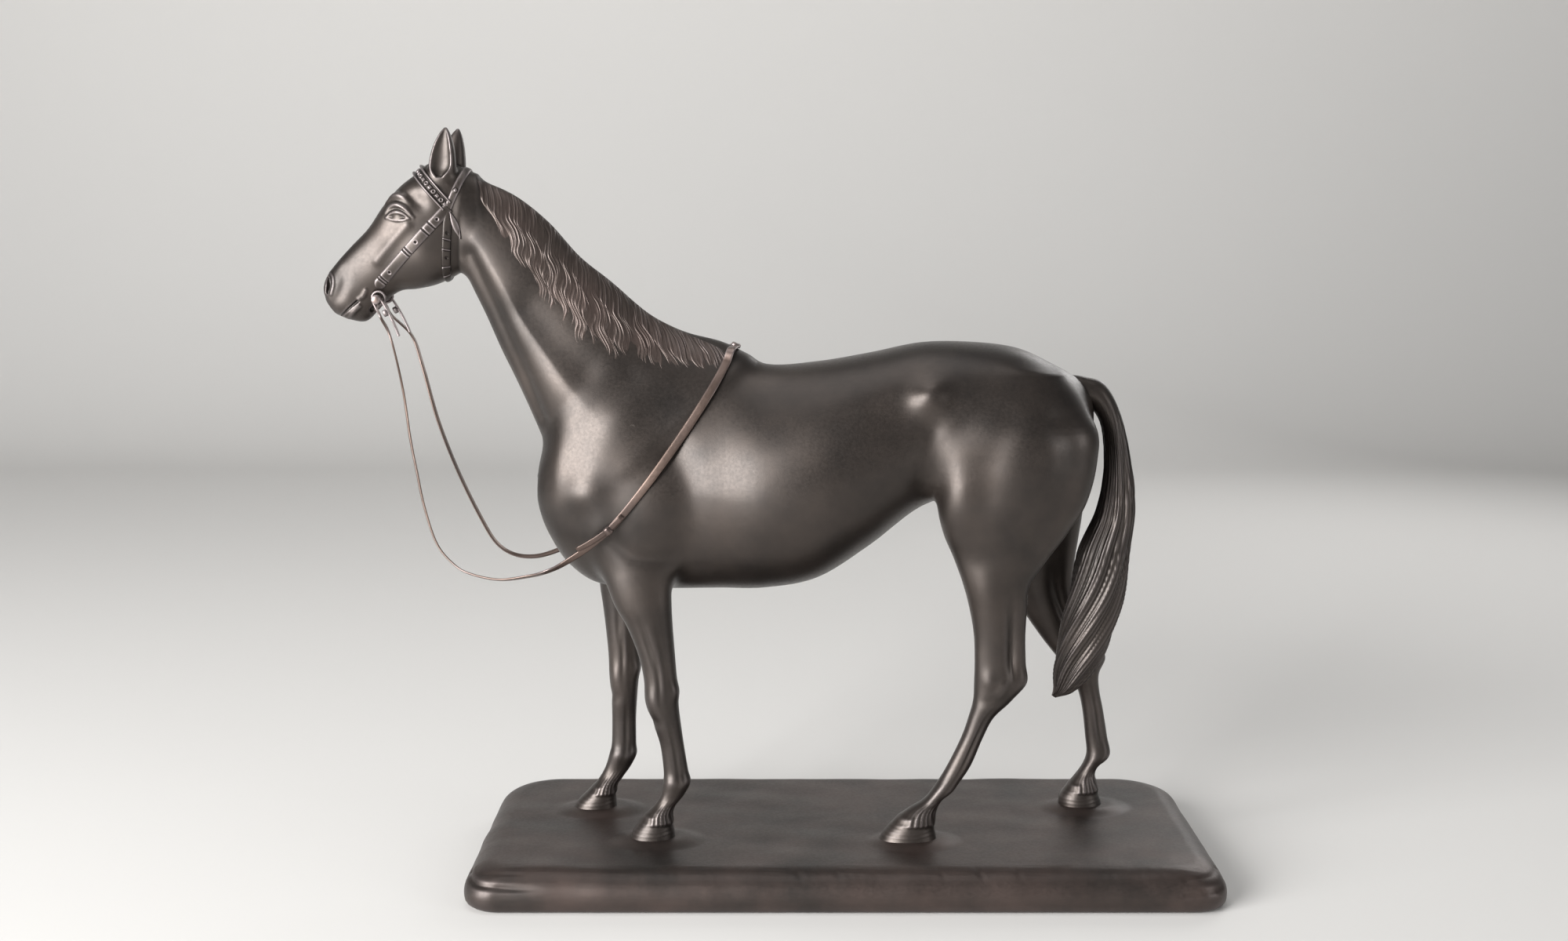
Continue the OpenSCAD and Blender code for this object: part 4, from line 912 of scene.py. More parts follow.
# Beads and cuts on the head's sides: path rows x, z, radius, rise above the skin; fillet; cut or add
HEAD_WORK = [
    # Eyeball
    ([(-251.1, 358.8, 4.5, 0.77)], 1.0, False),
    # Upper lid
    ([(-257.8, 357.6, 0.54, 0.34), (-254.9, 359.6, 0.9, 0.95), (-251.1, 360.4, 1.2, 1.6),
      (-247.3, 359.4, 0.99, 1.1), (-244.2, 357.1, 0.54, 0.26)], 0.9, False),
    # Lower lid
    ([(-257.6, 357.3, 0.41, 0.18), (-254.2, 356.3, 0.57, 0.36), (-250.7, 355.9, 0.65, 0.48),
      (-247.3, 356.2, 0.57, 0.36), (-244.4, 357.1, 0.41, 0.12)], 1.0, False),
    # Fold above the lid
    ([(-258.5, 360.2, 0.72, 0.17), (-255.7, 363.3, 1.3, 1), (-251.4, 364.5, 1.5, 1.6),
      (-246.6, 362.4, 1.3, 1.3), (-242.0, 357.6, 0.72, 0.17)], 1.1, False),
    # Brow
    ([(-258.6, 365.8, 1.2, 0.4), (-254.0, 369.3, 2.0, 1.5), (-248.8, 369.4, 2.0, 1.6),
      (-243.2, 365.6, 1.4, 0.5)], 1.6, False),
    # Nostril
    ([(-294.4, 324.0, 0.8, 0.2), (-293.4, 319.8, 1.7, 0.5), (-294.4, 315.4, 1.0, 0.2)], 0.8, True),
    # Nostril rim
    ([(-293.0, 326.6, 0.7, 0.2), (-290.6, 324.0, 0.8, 0.4), (-290.2, 319.4, 0.9, 0.45),
      (-291.6, 314.4, 0.7, 0.3)], 1.0, False),
    # Mouth
    ([(-287.6, 301.6, 0.5, 0.3), (-284.4, 303.8, 0.6, 0.3), (-280.6, 307.0, 0.7, 0.3),
      (-276.2, 310.6, 0.9, 0.3)], 0.5, True),
    # Lower lip
    ([(-283.4, 300.6, 1.1, 0.5), (-279.8, 303.8, 1.2, 0.7), (-275.8, 307.2, 1.0, 0.4)], 1.4, False),
    # Lip's corner
    ([(-275.6, 311.8, 0.8, 0.3), (-273.2, 313.4, 1.2, 0.5), (-271.6, 316.4, 0.9, 0.2)], 1.4, False),
    # Curb groove
    ([(-268.6, 305.0, 1.8, 0.8), (-264.4, 309.4, 1.6, 0.6)], 2.0, True),
    # Fold under the ear
    ([(-232.6, 384.2, 0.4, 0.2), (-229.6, 380.0, 0.5, 0.2)], 0.5, True)]
# Hollow of an ear: how open it is from foot to tip, its shares of length and half width, its lift at the foot
EAR_OPEN, EAR_LENGTH, EAR_WIDTH, EAR_FOOT = (0.25, 1, 1, 0.9, 0.7, 0.5), 0.4, 0.68, 4


def ear_hollow(ear, side):
    """The hollow of an ear: its own sections, smaller and moved outwards, closing to a point at the foot."""
    rows = np.array(ear, float)
    full = np.array(EAR_OPEN)
    middle = 0.56 * rows[:, 0] + 0.44 * rows[:, 1]
    reach = EAR_LENGTH * (rows[:, 1] - rows[:, 0]) * full
    rows[:, 0] = middle - reach
    rows[:, 1] = middle + reach
    rows[0, 2] += EAR_FOOT
    rows[:, 3] += side * 0.95 * rows[:, 4]
    rows[:, 4] = EAR_WIDTH * rows[:, 4] * full
    return level_sections(rows)


def worked_head():
    """The head's grid with its ears, eyes, brow, nostrils and lips."""
    bare, axes = casting_grid("head")
    x, y, z = np.ix_(*axes)
    solid = bare
    for ear in ("near_ear", "off_ear"):
        solid = smooth_min(solid, loft_distance(FORMS[ear], x, y, z).astype(np.float32), EAR_BLEND)
    for path, blend, cut in HEAD_WORK:
        tool_path(solid, axes, path, blend, cut)
    for ear, side in ((NEAR_EAR, NEAR), (OFF_EAR, OFF)):
        cut_loft(solid, axes, ear_hollow(ear, side), EAR_LIP)
    return solid, axes


class HORSE_OT_head(bpy.types.Operator):
    """Adds the head casting with its eyes, nostrils, lips and ears"""
    bl_idname = "horse.head"
    bl_label = "Head"

    def execute(self, context):
        add_casting("head_casting", worked_head(), finish("patinated bronze"), "head",
                    [((HEAD_JOINT_X, 0, 0), (1, 0, 0))])
        return {"FINISHED"}


# Grid of a leg: room round it, height above the joint, step
LEG_ROOM, LEG_OVER, LEG_STEP = 4, 8, 0.5


def leg_box(form):
    """Lowest and highest corner of the grid for a leg, from its sections below the joint."""
    low = form[form[:, EDGE_Z] < LEG_JOINT_Z + LEG_OVER]
    x, y, half = low[:, [EDGE_X, OTHER_X]], low[:, MIDDLE_Y], low[:, HALF]
    return ((x.min() - LEG_ROOM, (y - half).min() - LEG_ROOM, -2),
            (x.max() + LEG_ROOM, (y + half).max() + LEG_ROOM, LEG_JOINT_Z + LEG_OVER))


class HORSE_OT_legs(bpy.types.Operator):
    """Adds the four leg castings with their tendons, hair and hooves"""
    bl_idname = "horse.legs"
    bl_label = "Legs"

    def execute(self, context):
        for name in ("near_fore", "off_fore", "near_hind", "off_hind"):
            grid = solid_grid(*leg_box(FORMS[name]), LEG_STEP, ("trunk", name))
            add_casting(name + "_casting", grid, finish("patinated bronze"), name + "_leg",
                        [((0, 0, LEG_JOINT_Z), (0, 0, 1))])
        return {"FINISHED"}


# Ridges round the tail: locks, lines in them and fine hair
TAIL_LOCKS, TAIL_LINES, TAIL_HAIR = 7, 17, 31


def tail_surface(rings=260, sides=120):
    """The tail: an oval carried along a curve, with hair ridges that twist slowly as they run down.

    The oval's half axes come from the tail's sections. Ridges are sines of the angle whose phase drifts with
    the length, at a coarse and a fine count, and grow towards the tip where the locks part.
    """
    rows = spline(TAIL, 24)
    middle = (rows[:, 0:2] + rows[:, 2:4]) / 2
    run = np.append(0, np.cumsum(np.hypot(*np.diff(middle, axis=0).T)))
    s = np.linspace(0, 1, rings)
    at = [np.interp(s * run[-1], run, rows[:, k]) for k in range(5)]
    px, pz, qx, qz, half = at
    angle = np.linspace(0, 2 * np.pi, sides, endpoint=False)
    length = s[:, None] * run[-1]
    drift = 0.010 * length + 0.35 * np.sin(length / 26)
    locks = np.cos(TAIL_LOCKS * (angle + drift) + 1.1 * np.sin(length / 37 + 2 * angle))
    lines = np.abs(np.sin(TAIL_LINES * (angle + drift) + 0.8 * np.sin(length / 19 + angle)))
    fine = np.abs(np.sin(TAIL_HAIR * (angle + drift * 1.1) + 0.6 * np.sin(length / 13)))
    grow = smooth_step(s[:, None], 0.06, 0.4)
    rise = grow * (1.0 * locks + 1.1 * (lines - 0.6) + 0.45 * (fine - 0.6))
    reach = np.hypot(px - qx, pz - qz)[:, None] / 2
    rise = rise * np.clip(reach / 9, 0.15, 1) - 0.9 * grow
    u = np.cos(angle) * np.maximum(reach + rise, 0.3)
    v = np.sin(angle) * np.maximum(half[:, None] + rise, 0.3)
    ax, az = (px - qx)[:, None] / (2 * reach), (pz - qz)[:, None] / (2 * reach)
    points = np.stack([((px + qx) / 2)[:, None] + ax * u, v, ((pz + qz) / 2)[:, None] + az * u], -1)
    return points.reshape(-1, 3), tube_faces(rings, sides)


class HORSE_OT_tail(bpy.types.Operator):
    """Adds the tail with its flowing hair"""
    bl_idname = "horse.tail"
    bl_label = "Tail"

    def execute(self, context):
        add_piece("tail_hair", *joined([tail_surface()]), finish("patinated bronze"), "statue", ("tail",))
        return {"FINISHED"}


# The mane's ends along x
MANE_FROM, MANE_TO = -209.0, -66.0
# Sway of the hair: how far, its wavelength, and the fall over which it grows
MANE_SWAY, SWAY_WAVE, SWAY_GROW = 1.2, 21, 9
# Locks: width, how far their partings wander, and how much of that width closes up at the tip
LOCK_WIDTH, LOCK_WANDER, LOCK_GATHER = 11.0, 2.2, 0.2
# Length of the locks over the drawn edge: the longest, how unequal they are, and how pointed each one is
LOCK_LONGEST, LOCK_UNEQUAL, LOCK_POINT = 1.35, 0.16, 0.5
# Rise of the hair as shares of the mane's: its ground, the locks, the ridges and the finer wisps
HAIR_GROUND, LOCK_RISE, RIDGE_RISE, WISP_RISE = 0.15, 0.22, 0.46, 0.22
# Spacing of the wisps as a share of the ridges', and how deep the hair dips under the skin where it ends
WISP_SHARE, MANE_DIP = 0.47, 0.5
# Lower edge of the mane on the near side: x, z
MANE_EDGE = [(-209, 371), (-206, 366), (-201.8, 362), (-193, 346), (-182, 327), (-171, 310), (-158, 295),
             (-145, 281), (-127, 274.5), (-105, 272.5), (-85, 271), (-70, 274)]
# How far the hair leans back for each mm that it falls, along the crest's x
MANE_LEAN = [(-205, 0.32), (-165, 0.16), (-135, 0.3), (-110, 0.5), (-70, 0.65)]
# Longest and shortest fall of the hair, how far it reaches over the crest, and how deep its underside lies
MANE_FALL, MANE_LEAST, MANE_OVER, MANE_UNDER = 90.0, 4.0, 5.0, 2.2


def crest_line(columns):
    """Points x, z evenly along the crest, from the poll to the withers, and their distance from the poll."""
    crest = spline(np.array(NECK)[:, :2])[::-1]
    crest = crest[(crest[:, 0] > MANE_FROM - 3) & (crest[:, 0] < MANE_TO + 3)]
    run = np.append(0, np.cumsum(np.hypot(*np.diff(crest, axis=0).T)))
    at = np.linspace(*np.interp((MANE_FROM, MANE_TO), crest[:, 0], run), columns)
    return np.interp(at, run, crest[:, 0]), np.interp(at, run, crest[:, 1]), at - at[0]


def scatter(number):
    """A repeatable number from 0 to 1 for each whole number."""
    return np.modf(np.abs(np.sin(number * 12.9898) * 43758.5453))[0]


def mane_locks(place):
    """Number of the lock that each strand belongs to, and its place across the lock from -0.5 to 0.5."""
    warped = place + LOCK_WANDER * ripple(place, (37, 0.4), (19, 2.0), (12, 1.0))
    lock = np.floor(warped / LOCK_WIDTH)
    return lock, warped / LOCK_WIDTH - lock - 0.5


def mane_length(x, z, lean, place):
    """Length of each strand: its fall to the mane's lower edge, longest in the middle of a lock."""
    lock, across = mane_locks(place)
    fall = np.linspace(0, MANE_FALL, 181)
    below = z - fall < np.interp(x + lean * fall, *np.array(MANE_EDGE).T)
    length = np.maximum(fall[np.argmax(below, 1)], MANE_LEAST)[:, None] * smooth_step(place, -3, 4)
    point = LOCK_LONGEST - LOCK_UNEQUAL * scatter(lock) - LOCK_POINT * across ** 2
    return length * (point + 0.05 * ripple(place, (5.3, 0), (3.7, 1)))


def hair_rise(place, drop, share, phase):
    """Height of the hair as a share of the mane's rise.

    Locks are half ellipses across the strands. Ridges and wisps are one less the size of a sine of the place,
    which wanders down the fall. They come and go, and are softer near the crest.
    """
    hair = size("hair_width")
    parting = place + 0.5 * ripple(drop + 3 * phase, (17, 0), (9, 2))
    ridge = 1 - np.abs(np.sin(np.pi * parting / hair + 0.9 * ripple(place, (11.1, 0), (6.3, 2))))
    wisp = 1 - np.abs(np.sin(np.pi * parting / (WISP_SHARE * hair) + ripple(place, (8.3, 1))))
    crisp = smooth_step(ripple(place + 0.3 * drop, (23, 0.3), (13.1, 2.2), (7.1, 0.7)), -0.55, 0.35)
    crisp = (0.15 + 0.85 * crisp) * (0.5 + 0.5 * smooth_step(share, 0.03, 0.35))
    body = np.sqrt(np.maximum(1 - (2 * mane_locks(place)[1]) ** 2, 0))
    return HAIR_GROUND + LOCK_RISE * body + crisp * (RIDGE_RISE * ridge ** 1.1 + WISP_RISE * wisp)


def mane_surface(columns=760, rows=88, over_rows=8, under_rows=10):
    """The mane: hair that falls from the crest in waves, on a grid of strands and falls.

    A strand starts at a place along the crest. Down its fall it leans back, sways as a sine whose phase drifts
    along the crest, and closes towards the middle of its lock near the tip. The points are cast on to the neck's
    side and raised by the hair, and each lock ends in a point that dips under the skin.
    """
    x0, z0, place = (line[:, None] for line in crest_line(columns))
    lean = np.interp(x0, *np.array(MANE_LEAN).T)
    t = np.concatenate([np.linspace(-1, 0, over_rows, endpoint=False), np.linspace(0, 1, rows) ** 1.25])
    drop = np.where(t < 0, -t * MANE_OVER, t * mane_length(x0, z0, lean, place)) + 0.5
    share = np.clip(t, 0, 1)
    phase = 1.7 * ripple(place, (53, 0.3), (29, 1.7), (16, 0.5))
    sway = MANE_SWAY * np.sin(2 * np.pi * drop / SWAY_WAVE + phase) * np.minimum(drop / SWAY_GROW, 1)
    gather = mane_locks(place)[1] * LOCK_WIDTH * LOCK_GATHER * share ** 2
    x = x0 + lean * drop * (t > 0) + sway * (t > 0) - gather
    side = np.where(t < 0, OFF, NEAR)
    origins = np.stack([x, 0 * x, z0 - drop], -1)
    ways = np.broadcast_to(np.stack([0 * side, side, 0 * side], -1), origins.shape)
    hit, normal = cast("neck", origins, ways, NECK_REACH, 150)
    ends = smooth_step(place, 0, 3) * (1 - smooth_step(place, place[-1] - 8, place[-1]))
    cover = smooth_step(1 - share, 0.0, 0.62) * smooth_step(t, -1, -0.5) * ends
    height = hair_rise(place, drop, share, phase) * size("mane_rise") * cover - MANE_DIP * (1 - cover)
    top = hit + normal * height[..., None]
    pick = np.linspace(len(t) - 1, 0, under_rows).astype(int)
    under = hit[:, pick] - MANE_UNDER * normal[:, pick]
    ring = np.concatenate([top, under], 1)
    return ring.reshape(-1, 3), tube_faces(columns, ring.shape[1])


class HORSE_OT_mane(bpy.types.Operator):
    """Adds the mane's hair on the near side of the neck"""
    bl_idname = "horse.mane"
    bl_label = "Mane"

    def execute(self, context):
        add_piece("mane_hair", *joined([mane_surface()]), finish("hair bronze"))
        return {"FINISHED"}


# Bridle: where its straps meet below the ear, and where each one runs to on the head's side, x and z
STRAP_MEET = np.array((-222.5, 363.0))
BROW_TOP = np.array((-241.5, 384.0))
CROWN_TOP = np.array((-213.0, 385.0))
CHEEK_FOOT = np.array((-264.5, 319.5))
THROAT_FOOT = np.array((-228.0, 300.0))
# Stitched lines and holes of the cheekpiece and throat latch, in mm from where the straps meet
CHEEK_LINES, CHEEK_HOLES = (13.6, 18.6, 33.0, 34.8, 55.4, 57.0), (9.0, 26.4, 49.9)
THROAT_LINES, THROAT_HOLES = (14.8, 20.6, 30.8, 37.0), (11.2, 25.0)
# Cheekpiece: width, length of its round end, and how far it runs past its foot
CHEEK_WIDTH, CHEEK_ROUND, CHEEK_OVER = 6.3, 3.2, 1.5
# Half widths of the straps round the head; the throat latch's by the distance from its nearer end
BROW_HALF, CROWN_HALF = 3.5, 2.2
THROAT_HALF = (0, 6, 34, 44, 60), (1.6, 2.5, 2.5, 1.4, 1.3)
# How far straps swing round the head to each side, in degrees, and how deep the middle of the swing lies
BROW_TURN, CROWN_TURN, THROAT_TURN = 108, 112, 147
BAND_INWARD, THROAT_INWARD = 6, 27
# Spacing of the browband's rings and squares, and the crownpiece's stud
BROW_STEP, CROWN_STUD = 3.1, 10.5
# Leaf below the place where the straps meet: its start and end from there, half width and length
LEAF_FROM, LEAF_TO, LEAF_HALF, LEAF_LENGTH = (0.8, -2.0), (6.4, -17.5), 1.9, 16.5


def pillow(across, height):
    """A strap's rounded back: full height in the middle, falling to its edges."""
    return height * np.sqrt(np.maximum(1 - across ** 6, 0)) * (1 - 0.16 * across ** 2)


def stitched(run, across, half, lines, holes):
    """A padded strap with pressed lines across it and round holes along its middle."""
    height = size("strap_rise")
    rise = pillow(across, height) + 0 * run
    for at in lines:
        rise = rise - 0.55 * height * np.exp(-((run - at) / 0.42) ** 2) * (np.abs(across) < 0.985)
    for at in holes:
        rise = rise - 1.1 * height * np.exp(-(((run - at) ** 2 + (across * half) ** 2) / 0.62 ** 2) ** 2)
    return rise


def strap_shell(hit, normal, rise, sink=0.9):
    """A closed strap: its raised face over the skin and an underside sunk below it."""
    ring = np.concatenate([hit + normal * rise[..., None], (hit - normal * sink)[:, ::-1]], 1)
    return ring.reshape(-1, 3), tube_faces(*ring.shape[:2])


def side_strap(side, start, end, half_width, raised, columns=240, rows=33):
    """A strap laid on one side of the head: a flat strip in the x-z plane cast across on to the skin.

    half_width and raised are functions of the distance along the strip, and of that and the place across it.
    """
    run = np.linspace(0, np.linalg.norm(end - start), columns)[:, None]
    across = np.sin(np.linspace(-np.pi / 2, np.pi / 2, rows))
    way = (end - start) / np.linalg.norm(end - start)
    half = half_width(run)
    x = start[0] + way[0] * run - way[1] * across * half
    z = start[1] + way[1] * run + way[0] * across * half
    origins = np.stack([x, 0 * x, z], -1)
    hit, normal = cast("head", origins, np.broadcast_to([0.0, side, 0.0], origins.shape), HEAD_REACH)
    return strap_shell(hit, normal, raised(run, across, half))


def round_strap(start, end, inward, turn, half_width, raised, columns=420, rows=33):
    """A strap round the head: rays in a plane across the horse, cast outwards from a middle point.

    The plane holds the line from start to end, the middle point lies inward along it, and the rays swing from
    turn degrees on the near side to as many on the off side. They are spaced evenly along the skin.
    """
    way = (end - start) / np.linalg.norm(end - start)
    middle = start + way * inward
    def rays(angle, offset):
        x = middle[0] - way[1] * offset + 0 * angle
        z = middle[1] + way[0] * offset + 0 * angle
        c, s = np.cos(angle) + 0 * x, np.sin(angle) + 0 * x
        out = np.stack([c * way[0], s, c * way[1]], -1)
        return cast("head", np.stack([x, 0 * x, z], -1), out, BODY_REACH)
    angle = np.radians(np.linspace(-turn, turn, 241))
    line, _ = rays(angle, 0 * angle)
    run = np.append(0, np.cumsum(np.linalg.norm(np.diff(line, axis=0), axis=1)))
    even = np.linspace(0, run[-1], columns)
    across = np.sin(np.linspace(-np.pi / 2, np.pi / 2, rows))
    from_end = np.minimum(even, run[-1] - even)[:, None]
    half = half_width(from_end)
    hit, normal = rays(np.interp(even, run, angle)[:, None], across * half)
    return strap_shell(hit, normal, raised(from_end, across, half))


def brow_rise(run, across, half):
    """The browband: two rolled edges and a row of rings and squares between them."""
    height = size("strap_rise")
    edges = height * 1.25 * np.exp(-((np.abs(across) - 0.8) / 0.17) ** 4)
    count = np.floor(run / BROW_STEP)
    along = (run / BROW_STEP - count - 0.5) * BROW_STEP
    far = np.hypot(along, across * half)
    ring = np.exp(-((far - 0.95) / 0.36) ** 2)
    square = np.exp(-(np.maximum(np.abs(along), np.abs(across * half)) / 1.0) ** 8)
    return 0.42 * height + edges + height * 0.62 * np.where(count % 2 > 0, ring, square) * (np.abs(across) < 0.7)


def rounded_end(run, length, width, reach):
    """Half width that closes in a round end before length."""
    left = np.clip((length - run) / reach, 0, 1)
    return width / 2 * np.sqrt(np.maximum(1 - (1 - left) ** 2, 2e-3))


def crown_rise(run, across, half):
    """The crownpiece: a padded strap with a stud on each side."""
    stud = np.exp(-(((run - CROWN_STUD) ** 2 + (across * half) ** 2) / 1.1 ** 2) ** 2)
    return pillow(across, size("strap_rise") * 0.9) + 0.9 * stud


def leaf_half(run):
    """Half width of the leaf: a power of a sine along its length."""
    return LEAF_HALF * np.sin(np.pi * np.clip(run / LEAF_LENGTH, 0.01, 0.99)) ** 0.8


def leaf_rise(run, across, half):
    """The leaf: a plain padded strap."""
    return pillow(across, size("strap_rise") * 0.9) + 0 * run


def cheek_strap(side):
    """A cheekpiece, which ends round a little past its foot."""
    reach = np.linalg.norm(CHEEK_FOOT - STRAP_MEET) + CHEEK_OVER
    foot = STRAP_MEET + (CHEEK_FOOT - STRAP_MEET) * (reach / (reach - CHEEK_OVER))
    return side_strap(side, STRAP_MEET, foot, lambda run: rounded_end(run, reach, CHEEK_WIDTH, CHEEK_ROUND),
                      functools.partial(stitched, lines=CHEEK_LINES, holes=CHEEK_HOLES))


class HORSE_OT_bridle(bpy.types.Operator):
    """Adds the bridle: browband, crownpiece, cheekpieces and throat latch"""
    bl_idname = "horse.bridle"
    bl_label = "Bridle"

    def execute(self, context):
        brow = round_strap(STRAP_MEET, BROW_TOP, BAND_INWARD, BROW_TURN, lambda run: BROW_HALF + 0 * run,
                           brow_rise)
        crown = round_strap(STRAP_MEET, CROWN_TOP, BAND_INWARD, CROWN_TURN, lambda run: CROWN_HALF + 0 * run,
                            crown_rise)
        throat = round_strap(STRAP_MEET, THROAT_FOOT, THROAT_INWARD, THROAT_TURN,
                             lambda run: np.interp(run, *THROAT_HALF),
                             functools.partial(stitched, lines=THROAT_LINES, holes=THROAT_HOLES))
        leaves = [side_strap(side, STRAP_MEET + LEAF_FROM, STRAP_MEET + LEAF_TO, leaf_half, leaf_rise, 90, 21)
                  for side in (NEAR, OFF)]
        for node, shells in (("near_cheekpiece", [cheek_strap(NEAR)]), ("off_cheekpiece", [cheek_strap(OFF)]),
                             ("browband", [brow]), ("crownpiece", [crown]), ("throat_latch", [throat, *leaves])):
            add_piece(node + "_strap", *joined(shells), finish("strap bronze"), nodes=(node,),
                      slot="bronze_strap")
        return {"FINISHED"}


# Bit: its place; radius, half length and dome of its bar; place, radius and wire of its rings and how they hang
BIT_AT = (-265.0, 311.5)
BIT_R, BIT_END_Y, BIT_DOME_R, BIT_DOME_RISE = 1.6, 14.85, 2.6, 0.95
RING_Y, RING_R, RING_WIRE_R, RING_REST = 10.3, 3.6, 0.75, (0.7, 0.8)


def lathe(profile, sides=40):
    """A profile of y and radius turned round the bit's line."""
    profile = np.asarray(profile, float)
    turn = np.linspace(0, 2 * np.pi, sides, endpoint=False)
    x = BIT_AT[0] + profile[:, 1:] * np.cos(turn)
    z = BIT_AT[1] + profile[:, 1:] * np.sin(turn)
    points = np.stack([x, np.broadcast_to(profile[:, :1], x.shape), z], -1)
    return points.reshape(-1, 3), tube_faces(len(profile), sides)


def bit_ring(side, turns=64, sides=16):
    """A ring of round wire beside the mouth: a circle carried round a circle."""
    a = np.linspace(0, 2 * np.pi, turns, endpoint=False)[:, None]
    b = np.linspace(0, 2 * np.pi, sides, endpoint=False)
    out = RING_R + RING_WIRE_R * np.cos(b)
    points = np.stack([BIT_AT[0] + RING_REST[0] + out * np.cos(a),
                       side * RING_Y + RING_WIRE_R * np.sin(b) + 0 * a,
                       BIT_AT[1] + RING_REST[1] + out * np.sin(a)], -1).reshape(-1, 3)
    i, k = np.meshgrid(np.arange(turns), np.arange(sides), indexing="ij")
    n, m = (i + 1) % turns, (k + 1) % sides
    faces = np.stack([i * sides + k, i * sides + m, n * sides + m, n * sides + k], -1).reshape(-1, 4).tolist()
    return points, faces


class HORSE_OT_bit(bpy.types.Operator):
    """Adds the bit's bar with its domed ends, and its two rings"""
    bl_idname = "horse.bit"
    bl_label = "Bit"

    def execute(self, context):
        turn = np.linspace(0, np.pi / 2, 9)
        dome = [(BIT_END_Y + BIT_DOME_RISE * math.sin(t), max(BIT_DOME_R * math.cos(t), 0.02)) for t in turn]
        half = [(0, BIT_R), (BIT_END_Y - 0.35, BIT_R), (BIT_END_Y - 0.3, BIT_DOME_R - 0.3),
                (BIT_END_Y, BIT_DOME_R), *dome[1:]]
        profile = [(-y, r) for y, r in half[::-1]] + half[1:]
        add_piece("bit_bar", *joined([lathe(profile)]), finish("rein bronze"), nodes=("bit_mouthpiece",),
                  slot="bronze_strap")
        for side, node in ((NEAR, "near_bit_ring"), (OFF, "off_bit_ring")):
            add_piece(node + "_wire", *joined([bit_ring(side)]), finish("strap bronze"), nodes=(node,),
                      slot="bronze_strap")
        return {"FINISHED"}


# Reins: x, outward y, z and roll below the bit. Roll 0 has the strip's width across the horse, 90 along the skin
NEAR_HANG = [
    (-255, 13.5, 290, 12), (-251, 15, 261, 30), (-247.5, 16.5, 233, 38), (-244, 18, 214, 38),
    (-240, 19.5, 194, 38), (-233, 22, 173, 38), (-223, 25, 161.5, 38), (-213, 28, 156.5, 42),
    (-196, 32, 154, 50), (-178, 36, 157, 65), (-168, 37, 160.6, 76)]
OFF_HANG = [
    (-252.6, 14.5, 288, 12), (-246, 17, 270, 26), (-238, 19, 239, 32), (-227, 22, 207, 32), (-214, 26, 177, 34),
    (-206, 29, 163, 38), (-196, 32, 156, 46), (-184, 35, 154.5, 60), (-172, 37, 157, 70), (-165, 38, 160.8, 80)]
# From the breast up the shoulder to the withers: x and z, with y from the skin
SHOULDER = [(-158, 165.5), (-142, 176), (-128, 189), (-110, 211), (-92, 236), (-80, 254), (-73, 265),
            (-67.5, 275.2)]
WITHERS_TOP = (-62.0, 284.5)
# The turn round the bit: place and radius; length of the folded end
EYE_Y, EYE_R = 12.9, 2.2
FOLD_LENGTH = 24.0
# How far the reins swing up, in degrees, and their clearance from the skin
REIN_LIFT, REIN_CLEAR = 12.0, 0.6
# Share of the rein's width along x
REIN_TAPER = (-250, -200, -140, -90), (0.8, 0.85, 1.0, 1.3)
# The loose end lapped on the rein: where it lies along x, and how far its tip stands off
LAP_FROM, LAP_TO, LAP_TIP = -150, -124, (-1.2, 0, 3.2)
# Keepers: distance from the bit, shift on to the fold, places along and swell there, added width, thickness
KEEPER_AT, KEEPER_SHIFT, KEEPER_ROOM, KEEPER_THICK = 9.0, 1.5, 1.0, 3.0
KEEPER_RUN, KEEPER_SWELL = (-1.9, -1.3, 0, 1.3, 1.9), (0.8, 1.0, 1.04, 1.0, 0.8)
# Buckle: tilt in degrees, width, thickness, places along and swell there
BUCKLE_TILT, BUCKLE_WIDTH, BUCKLE_THICK = 22, 7.6, 2.5
BUCKLE_RUN, BUCKLE_SWELL = (-3.4, -2.9, -2.2, 0, 2.2, 2.9, 3.4), (0.55, 0.85, 1, 0.9, 1, 0.85, 0.55)


def strip_shell(line, face, width, thick, sides=14):
    """A flat strip: a rounded oblong carried along a line of points, its flat towards the face directions."""
    along = np.gradient(line, axis=0)
    along /= np.linalg.norm(along, axis=1, keepdims=True)
    flat = face - np.sum(face * along, 1, keepdims=True) * along
    flat /= np.linalg.norm(flat, axis=1, keepdims=True)
    across = np.cross(along, flat)
    turn = np.linspace(0, 2 * np.pi, sides, endpoint=False)
    c, s = np.cos(turn), np.sin(turn)
    u, v = (np.sign(k) * np.abs(k) ** 0.5 for k in (c, s))
    w, t = (np.broadcast_to(k, len(line))[:, None] / 2 for k in (width, thick))
    points = line[:, None] + across[:, None] * (u * w)[..., None] + flat[:, None] * (v * t)[..., None]
    return points.reshape(-1, 3), tube_faces(len(line), sides)


def swept_side(side, x, z):
    """How far out the skin comes at any place that points x, z pass as the reins swing up about the bit."""
    turn = np.radians(np.linspace(0, REIN_LIFT, 13))[:, None]
    ahead, up = x - BIT_AT[0], z - BIT_AT[1]
    probe = np.stack([BIT_AT[0] + ahead * np.cos(turn) - up * np.sin(turn), 0 * ahead * turn,
                      BIT_AT[1] + ahead * np.sin(turn) + up * np.cos(turn)], -1)
    hit, _ = cast("body", probe, np.broadcast_to([0.0, side, 0.0], probe.shape), BODY_REACH)
    return np.where(sample(*casting_grid("body"), probe) < 0, side * hit[..., 1], 0).max(0)


def hang_way(hang):
    """The way in the x-z plane from the bit to the first row of a hanging rein."""
    down = np.array(hang)[0, [0, 2]] - BIT_AT
    return down / np.linalg.norm(down)


